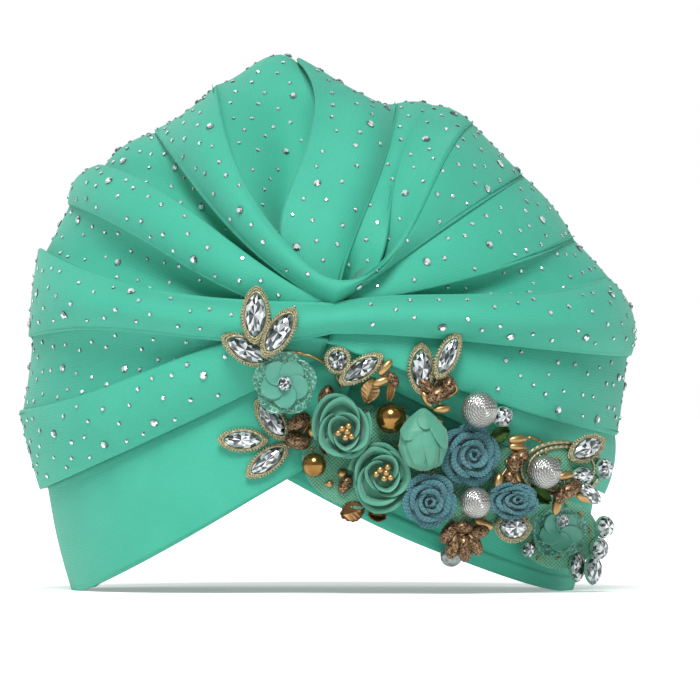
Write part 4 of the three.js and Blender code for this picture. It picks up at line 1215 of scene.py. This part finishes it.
for row in SPRAYS:
    place = (row["name"], row["x"], row["z"])
    pods = laid_pods(row["pods"])
    pips = laid_pods(row["pips"], PIP_WIDTH)
    stems = [stem(x, y) for x, y, *_ in row["pods"] + row["pips"]]
    wires = make_piece(row["name"] + "_pips", set_down(joined(pips + stems), *place), satin_gold)
    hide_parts(row["name"])
    make_piece(row["name"] + "_pods", set_down(joined(pods), *place), bronze_glitter)

# %% Beads and pods between the roses
# Beads have a place, x and y, and a diameter. Pods are as in the sprays.
GAP_BEADS = [(-4.9, 1.6, 3.8), (-9.1, -5.4, 3.4), (-13.5, -9, 2.6), (24, 12.5, 3.2)]
GAP_PODS = [(-8.2, -9.2, 7, 4.4, 60), (-15, 4, 6, 4, 100), (9.5, 15.5, 7, 3.6, 25)]
gap_seat = ("lace_centre", BACKINGS[0]["x"], BACKINGS[0]["z"])
beads = [turned_in_plane(ball(diameter), x, y, 0) for x, y, diameter in GAP_BEADS]
make_piece("gap_beads", set_down(joined(beads), *gap_seat), satin_gold)
make_piece("gap_pods", set_down(joined(laid_pods(GAP_PODS)), *gap_seat), bronze_glitter)

# %% [markdown]
# ## Ribbon roses
# The roses are ribbon gathered into cupped petals: satin round gold stamens for the mint ones, thick woven
# ribbon round a tight heart for the blue ones. Every petal is a patch of a cup, an angle about the rose's
# axis and a height, with its rim rolled outwards. One side of a petal lies outside its neighbour and the
# other inside, so the petals wrap. A low cushion under them closes the gaps.

# %% Ribbon finish
def ribbon_finish(name, light, shade, pitch, depth, rough):
    """Plain weave: crossed waves on the ribbon's own map, with a drift of colour."""
    finish = Finish(name, Roughness=rough, Sheen_Weight=0.3, Sheen_Roughness=0.4)
    cloth = finish.own_map()
    turns = 2 * np.pi / (pitch * MM)
    warp = (finish.axis(cloth, "X") * turns).wave()
    weft = (finish.axis(cloth, "Y") * turns).wave()
    weave = warp * weft + (1 - warp) * (1 - weft)
    finish.relief(weave, depth)
    cloud = finish.noise(5)
    finish.drive("Base Color", finish.blend(weave * 0.6 + cloud * 0.4, shade, light))
    return finish.material


mint_ribbon = ribbon_finish("mint satin ribbon", paint(98, 170, 146), paint(54, 130, 106), 0.5, 0.03, 0.45)
blue_ribbon = ribbon_finish("blue woven ribbon", paint(98, 160, 168), paint(34, 86, 96), 1.3, 0.45, 0.85)

# %% Mint roses
ROSE_COLUMNS = ["name", "x", "z", "width", "height", "depth", "spin", "heart"]
MINT_ROSES = table(ROSE_COLUMNS, [
    ("rose_mint_1", 4.5, 58.5, 19.5, 22.5, 8.5, 150, (0.2, -0.36)),
    ("rose_mint_2", 17, 39.5, 21.5, 22.5, 8.5, 290, (0.2, 0.32)),
])
PETAL_COLUMNS = ["petals", "turn", "span", "foot", "rim", "height", "curl", "tip"]
MINT_LAYERS = table(PETAL_COLUMNS, [
    (3, 0, 160, 0.32, 0.44, 1.0, 0.03, 0.3),
    (3, 60, 165, 0.5, 0.68, 0.92, 0.05, 0.34),
    (2, 150, 170, 0.66, 0.86, 0.66, 0.06, 0.2),
])
BLUE_LAYERS = table(PETAL_COLUMNS, [
    (2, 0, 200, 0.08, 0.14, 1.0, 0.02, 0.0),
    (3, 30, 150, 0.2, 0.38, 0.98, 0.07, 0.12),
    (4, 75, 125, 0.4, 0.62, 0.84, 0.1, 0.16),
    (5, 20, 100, 0.58, 0.82, 0.56, 0.12, 0.18),
])
WRAP = 0.19  # how much further out one side of a petal lies than its middle
RIBBON_WALL = {"mint": 0.45, "blue": 0.75}
CUSHION = {"sides": 40, "radius": 0.8, "mint": 0.5, "blue": 0.62}  # shares of the rose, with two heights
STAMENS = 6
STAMEN = {"reach": 0.28, "depth": 0.66, "pull": 0.64, "size": 2.7}
ROLL_FROM = 0.66  # where a petal's rim starts to roll over
ROLL_SIDES = 0.6  # how much less its sides roll
SIDE_DROP = 0.22  # how much lower its sides are


def petal(row, k, rose):
    """Shares of the rose's size: the radius grows from foot to rim, most at the petal's tip and more on
    the side that lies outside its neighbour. The height follows a sine and the last third rolls over.
    Inner petals stand round the heart of the rose, which lies off its middle."""
    side = np.linspace(-1, 1, 25)[None, :]
    up = np.linspace(0, 1, 18)[:, None]
    angle = np.radians(rose["spin"] + row["turn"] + 360 * k / row["petals"] + 0.5 * row["span"] * side)
    roll = smooth(up, (ROLL_FROM, 1)) * (1 - ROLL_SIDES * side ** 2)
    tip = 1 + row["tip"] * (1 - np.abs(side)) + WRAP * side
    radius = mix(row["foot"], row["rim"], up ** 1.3) * tip + row["curl"] * roll
    z = row["height"] * np.sin(up * QUARTER) * (1 - SIDE_DROP * side ** 2) - 0.8 * row["curl"] * roll
    toward = 1 - row["rim"]
    x = radius * np.cos(angle) + toward * rose["heart"][0]
    y = radius * np.sin(angle) + toward * rose["heart"][1]
    return np.stack([x, y, z + 0 * angle], axis=-1)[:, ::-1]


def cushion_grid(height):
    """A quarter circle turned about the rose's axis: a low dome under the petals."""
    angle = np.linspace(0, QUARTER, 9)[:, None]
    turn = np.linspace(0, 2 * np.pi, CUSHION["sides"] + 1)[None, :]
    radius = CUSHION["radius"] * np.cos(angle)
    z = height * np.sin(angle) + 0 * turn
    return np.stack([radius * np.cos(turn), radius * np.sin(turn), z], axis=-1)


def make_rose(row, layers, finish, ribbon):
    size = np.array([0.5 * row["width"], 0.5 * row["height"], row["depth"]])
    grids = [petal(layer, k, row) * size for layer in layers for k in range(layer["petals"])]
    grids.append(cushion_grid(CUSHION[ribbon]) * size)
    shape = set_down(joined([patch(grid) for grid in grids]), row["name"], row["x"], row["z"])
    maps = np.concatenate([cloth_map(grid) for grid in grids])
    piece = make_piece(row["name"] + "_petals", shape, finish, across=maps,
                       wall=RIBBON_WALL[ribbon], merged=False)
    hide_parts(row["name"])
    area = sum(half_area(grid) for grid in grids)
    return size


def stamen_beads():
    """Pips on a sunflower spiral: equal areas, turned by the golden angle from one to the next."""
    place = np.arange(STAMENS)
    reach = STAMEN["reach"] * np.sqrt((place + 0.5) / STAMENS)
    angle = place * np.pi * (3 - np.sqrt(5))
    z = np.full(STAMENS, STAMEN["depth"])
    return np.stack([reach * np.cos(angle), reach * np.sin(angle), z], axis=-1)


for row in MINT_ROSES:
    size = make_rose(row, MINT_LAYERS, mint_ribbon, "mint")
    heart = np.array([*row["heart"], 0]) * STAMEN["pull"]
    upright = np.broadcast_to(UPRIGHT, (STAMENS, 3, 3))
    pips = copies(BEAD, (stamen_beads() + heart) * size, upright, np.full(STAMENS, STAMEN["size"]))
    make_piece(row["name"] + "_stamens", set_down(pips, row["name"], row["x"], row["z"]), satin_gold)

# %% Bud
BUD = {"name": "rose_mint_bud", "x": 31.5, "z": 53, "flatten": 0.8}
BUD_HEIGHTS = np.array([-10.5, -8.5, -2.5, 3.5, 8, 11])
BUD_RADII = np.array([1.5, 6.0, 8.0, 7.0, 3.8, 0.8])
BUD_PETALS = table(["turn", "span", "low", "high", "lift"], [
    (30, 70, -9.5, 9, 1.04),
    (152, 70, -9.5, 9, 1.04),
    (74, 62, -10.3, 8, 1.07),
    (112, 62, -10.3, 8, 1.12),
    (46, 84, -3, 10.8, 1.2),
    (132, 84, 0, 10.8, 1.24),
    (92, 70, 4, 11, 1.32),
])
BUD_KEEL = 0.08  # how much further out the middle of a petal lies, as a share
BUD_WRAP = 0.07  # and one of its sides


def bud_grid(row):
    """A patch of the bud's profile about the y axis: widest at its middle, pointed at its low end, and
    further out on one side than on the other, so that each petal lies over its neighbour."""
    up = np.linspace(0, 1, 26)[:, None]
    side = np.linspace(-1, 1, 21)[None, :]
    y = mix(row["low"], row["high"], up)
    half = 0.5 * np.radians(row["span"]) * np.sin(np.pi * mix(0.04, 0.62, up)) ** 0.7
    angle = np.radians(row["turn"]) + half * side
    keel = BUD_KEEL * (1 - np.abs(side))
    radius = np.interp(y, BUD_HEIGHTS, BUD_RADII) * (row["lift"] + keel + BUD_WRAP * side)
    z = BUD["flatten"] * (BUD_RADII.max() + radius * np.sin(angle))
    return np.stack([radius * np.cos(angle), y + 0 * angle, z], axis=-1)[:, ::-1]


def bud_core():
    """The whole profile turned about the y axis, under the petals."""
    y = np.linspace(BUD_HEIGHTS[0], BUD_HEIGHTS[-1], 24)[:, None]
    angle = np.linspace(0, 2 * np.pi, 49)[None, :]
    radius = np.interp(y, BUD_HEIGHTS, BUD_RADII)
    z = BUD["flatten"] * (BUD_RADII.max() + radius * np.sin(angle))
    return np.stack([radius * np.cos(angle), y + 0 * angle, z], axis=-1)[:, ::-1]


grids = [bud_core()] + [bud_grid(row) for row in BUD_PETALS]
shape = set_down(joined([patch(grid) for grid in grids]), BUD["name"], BUD["x"], BUD["z"])
maps = np.concatenate([cloth_map(grid) for grid in grids])
bud = make_piece("rose_mint_bud_petals", shape, mint_ribbon, across=maps,
                 wall=RIBBON_WALL["mint"], merged=False)
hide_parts(BUD["name"])
area = sum(half_area(grid) for grid in grids)

# %% Blue roses
BLUE_ROSES = table(ROSE_COLUMNS, [
    ("rose_blue_1", 47.5, 48, 20.5, 20.5, 8, 40, (0.1, 0)),
    ("rose_blue_2", 34.5, 32.5, 18, 18, 7.5, 160, (-0.1, -0.1)),
    ("rose_blue_3", 62.5, 32, 18.5, 12, 6.5, 10, (0.1, 0.1)),
])
for row in BLUE_ROSES:
    make_rose(row, BLUE_LAYERS, blue_ribbon, "blue")

# %% [markdown]
# ## Sequin flowers
# Two flowers have five glittered petals, five clear ones over them and a cut stone on top. A petal is a
# shallow spoon: its width follows a sine along its length, and it rises to the rim.

# %% Sequin flowers
FLOWERS = table(["name", "x", "z", "width", "height", "stone", "stone_at"], [
    ("sequin_flower_1", -14.5, 72.5, 21, 21, 5, (0, 0)),
    ("sequin_flower_2", 79.5, 21, 22, 17, 5, (0.6, 4)),
])
FLOWER_LAYERS = table(["turn", "size", "half", "low", "rise", "glitter"], [
    (0, 1.06, 0.6, 0.2, 0.2, 1.0),
    (0.5, 0.8, 0.5, 0.45, 0.35, 0.0),
])
FLOWER_PETALS = 5
FLOWER_TURN = 0.3
FLOWER_DEPTH = 3.2
FLOWER_WALL = 0.35
PETAL_TILT = 0.12
PETAL_CUP = 0.08
FLOWER_STONE_LEVELS = [(0.9, 1.2), (1, 2.4), (0.8, 3.6), (0.5, 4.2), (0, 4.2)]
FLOWER_STONE_SIDES = 12


def clear_petal_finish():
    """Clear mint plastic. The map's first axis says how much glitter a petal has: flakes of random
    brightness that stand up from it."""
    finish = Finish("clear mint petal", Roughness=0.4, Transmission_Weight=0.2, Coat_Weight=0.2)
    glittered = finish.axis(finish.own_map(), "X")
    flake = finish.flakes(0.5)
    ground = finish.blend(glittered, paint(84, 164, 142), paint(34, 118, 96))
    finish.drive("Base Color", finish.blend(flake ** 2 * glittered, ground, paint(140, 206, 184)))
    finish.relief(flake * glittered, 0.3)
    return finish.material


def flower_petal(k, layer):
    """A round spoon: along it and across it, with a half width that is a power of a sine. The petal rises
    with the square of its length, and its sides rise too. Inner petals are smaller and stand higher."""
    along = np.linspace(0.02, 1, 22)[:, None]
    across = np.linspace(-1, 1, 19)[None, :]
    half = layer["half"] * np.sin(np.pi * np.minimum(0.985, along)) ** 0.5
    turn = 2 * np.pi * (k + layer["turn"]) / FLOWER_PETALS + FLOWER_TURN
    radial = along * layer["size"]
    sideways = half * across * layer["size"]
    x = radial * np.cos(turn) - sideways * np.sin(turn)
    y = radial * np.sin(turn) + sideways * np.cos(turn)
    z = layer["low"] + layer["rise"] * along ** 2 + PETAL_TILT * across + PETAL_CUP * across ** 2
    return np.stack([x, y, z], axis=-1)[:, ::-1]


clear_petal = clear_petal_finish()
flower_stones = []
for row in FLOWERS:
    place = (row["name"], row["x"], row["z"])
    size = np.array([0.5 * row["width"], 0.5 * row["height"], FLOWER_DEPTH])
    layers = [layer for layer in FLOWER_LAYERS for k in range(FLOWER_PETALS)]
    petals = [flower_petal(k % FLOWER_PETALS, layer) for k, layer in enumerate(layers)]
    shape = set_down(joined([patch(grid * size) for grid in petals]), *place)
    maps = [np.full((grid[..., 0].size, 2), layer["glitter"]) for grid, layer in zip(petals, layers)]
    piece = make_piece(row["name"] + "_petals", shape, clear_petal, across=np.concatenate(maps),
                       wall=FLOWER_WALL, merged=False)
    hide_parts(row["name"])
    stone = cut_stone(row["stone"], row["stone"], 1, FLOWER_STONE_LEVELS, FLOWER_STONE_SIDES)
    flower_stones.append(set_down(turned_in_plane(stone, *row["stone_at"], 0), *place))
flower_gems = make_piece("flower_stones", joined(flower_stones), facets, flat_shaded=True)
# Painted reflections: a random brightness for each facet of the flower stones.
paint_facet_reflections(flower_gems, dice.beta(*PAINTED_REFLECTION_SPREAD, len(flower_gems.data.polygons)))

# %% [markdown]
# ## Camera, floor and light
# The photograph is taken square from the front from far off, so a long lens from five metres keeps the
# sides of the hat nearly parallel. The floor is a pale sheet and the world a bright white room. A wide
# sun from above the front gives the pleats their shade and lights the floor evenly as far as it goes.

# %% Camera
PIXEL = 0.35  # mm of the hat to one pixel of the picture
VIEW_CENTRE = (7.7, 84.0)
VIEW_WIDTH = 700 * PIXEL
CAMERA_AWAY = 5000.0
SENSOR = 36.0

lens = bpy.data.cameras.new("camera")
lens.sensor_width = SENSOR
lens.lens = SENSOR * CAMERA_AWAY / VIEW_WIDTH
lens.clip_end = 100
camera = bpy.data.objects.new("camera", lens)
camera.location = (VIEW_CENTRE[0] * MM, -CAMERA_AWAY * MM, VIEW_CENTRE[1] * MM)
camera.rotation_euler = (QUARTER, 0, 0)
bpy.context.scene.collection.objects.link(camera)
bpy.context.scene.camera = camera
print("lens, mm:", round(lens.lens))

# %% Floor
FLOOR_HALF = 12.0
FLOOR_GLOW = 0.3  # lightens the shadow under the hat


def floor_finish():
    """A matt white sheet with a breath of unevenness."""
    finish = Finish("floor", Roughness=0.9, Specular_IOR_Level=0.1, Emission_Color=paint(255, 255, 255),
                    Emission_Strength=FLOOR_GLOW)
    finish.drive("Base Color", finish.blend(finish.noise(300), paint(247, 247, 247), paint(252, 252, 252)))
    return finish.material


floor_mesh = bpy.data.meshes.new("floor")
corners = [(-FLOOR_HALF, -FLOOR_HALF, 0), (FLOOR_HALF, -FLOOR_HALF, 0),
           (FLOOR_HALF, FLOOR_HALF, 0), (-FLOOR_HALF, FLOOR_HALF, 0)]
floor_mesh.from_pydata(corners, [], [(0, 1, 2, 3)])
floor_mesh.materials.append(floor_finish())
floor = bpy.data.objects.new("floor", floor_mesh)
bpy.context.scene.collection.objects.link(floor)
print("floor laid")

# %% Light
LAMPS = table(["name", "from", "strength", "spread"], [
    ("key", (-0.06, -0.78, 0.95), 3.0, 24),
    ("fill", (-0.9, -0.6, 0.4), 0.2, 60),
    ("back", (-0.5, 0.9, 0.7), 0.9, 60),
])
ROOM_LIGHT = 0.24  # what the room sheds on the hat
ROOM_SEEN = 1.0  # what the camera sees of it

for row in LAMPS:
    lamp_data = bpy.data.lights.new(row["name"], "SUN")
    lamp_data.energy = row["strength"]
    lamp_data.angle = np.radians(row["spread"])
    lamp = bpy.data.objects.new(row["name"], lamp_data)
    away = unit(np.array(row["from"]))
    lamp.rotation_euler = (np.arccos(away[2]), 0, np.arctan2(away[1], away[0]) + QUARTER)
    bpy.context.scene.collection.objects.link(lamp)

world = bpy.data.worlds.new("room")
world.use_nodes = True
room = world.node_tree
background = room.nodes["Background"]
background.inputs["Color"].default_value = (1, 1, 1, 1)
seen = room.nodes.new("ShaderNodeLightPath")
brightness = room.nodes.new("ShaderNodeMapRange")
brightness.inputs["To Min"].default_value = ROOM_LIGHT
brightness.inputs["To Max"].default_value = ROOM_SEEN
room.links.new(seen.outputs["Is Camera Ray"], brightness.inputs["Value"])
room.links.new(brightness.outputs["Result"], background.inputs["Strength"])
bpy.context.scene.world = world
bpy.context.scene.view_settings.view_transform = "Standard"
print("lamps:", len(LAMPS))
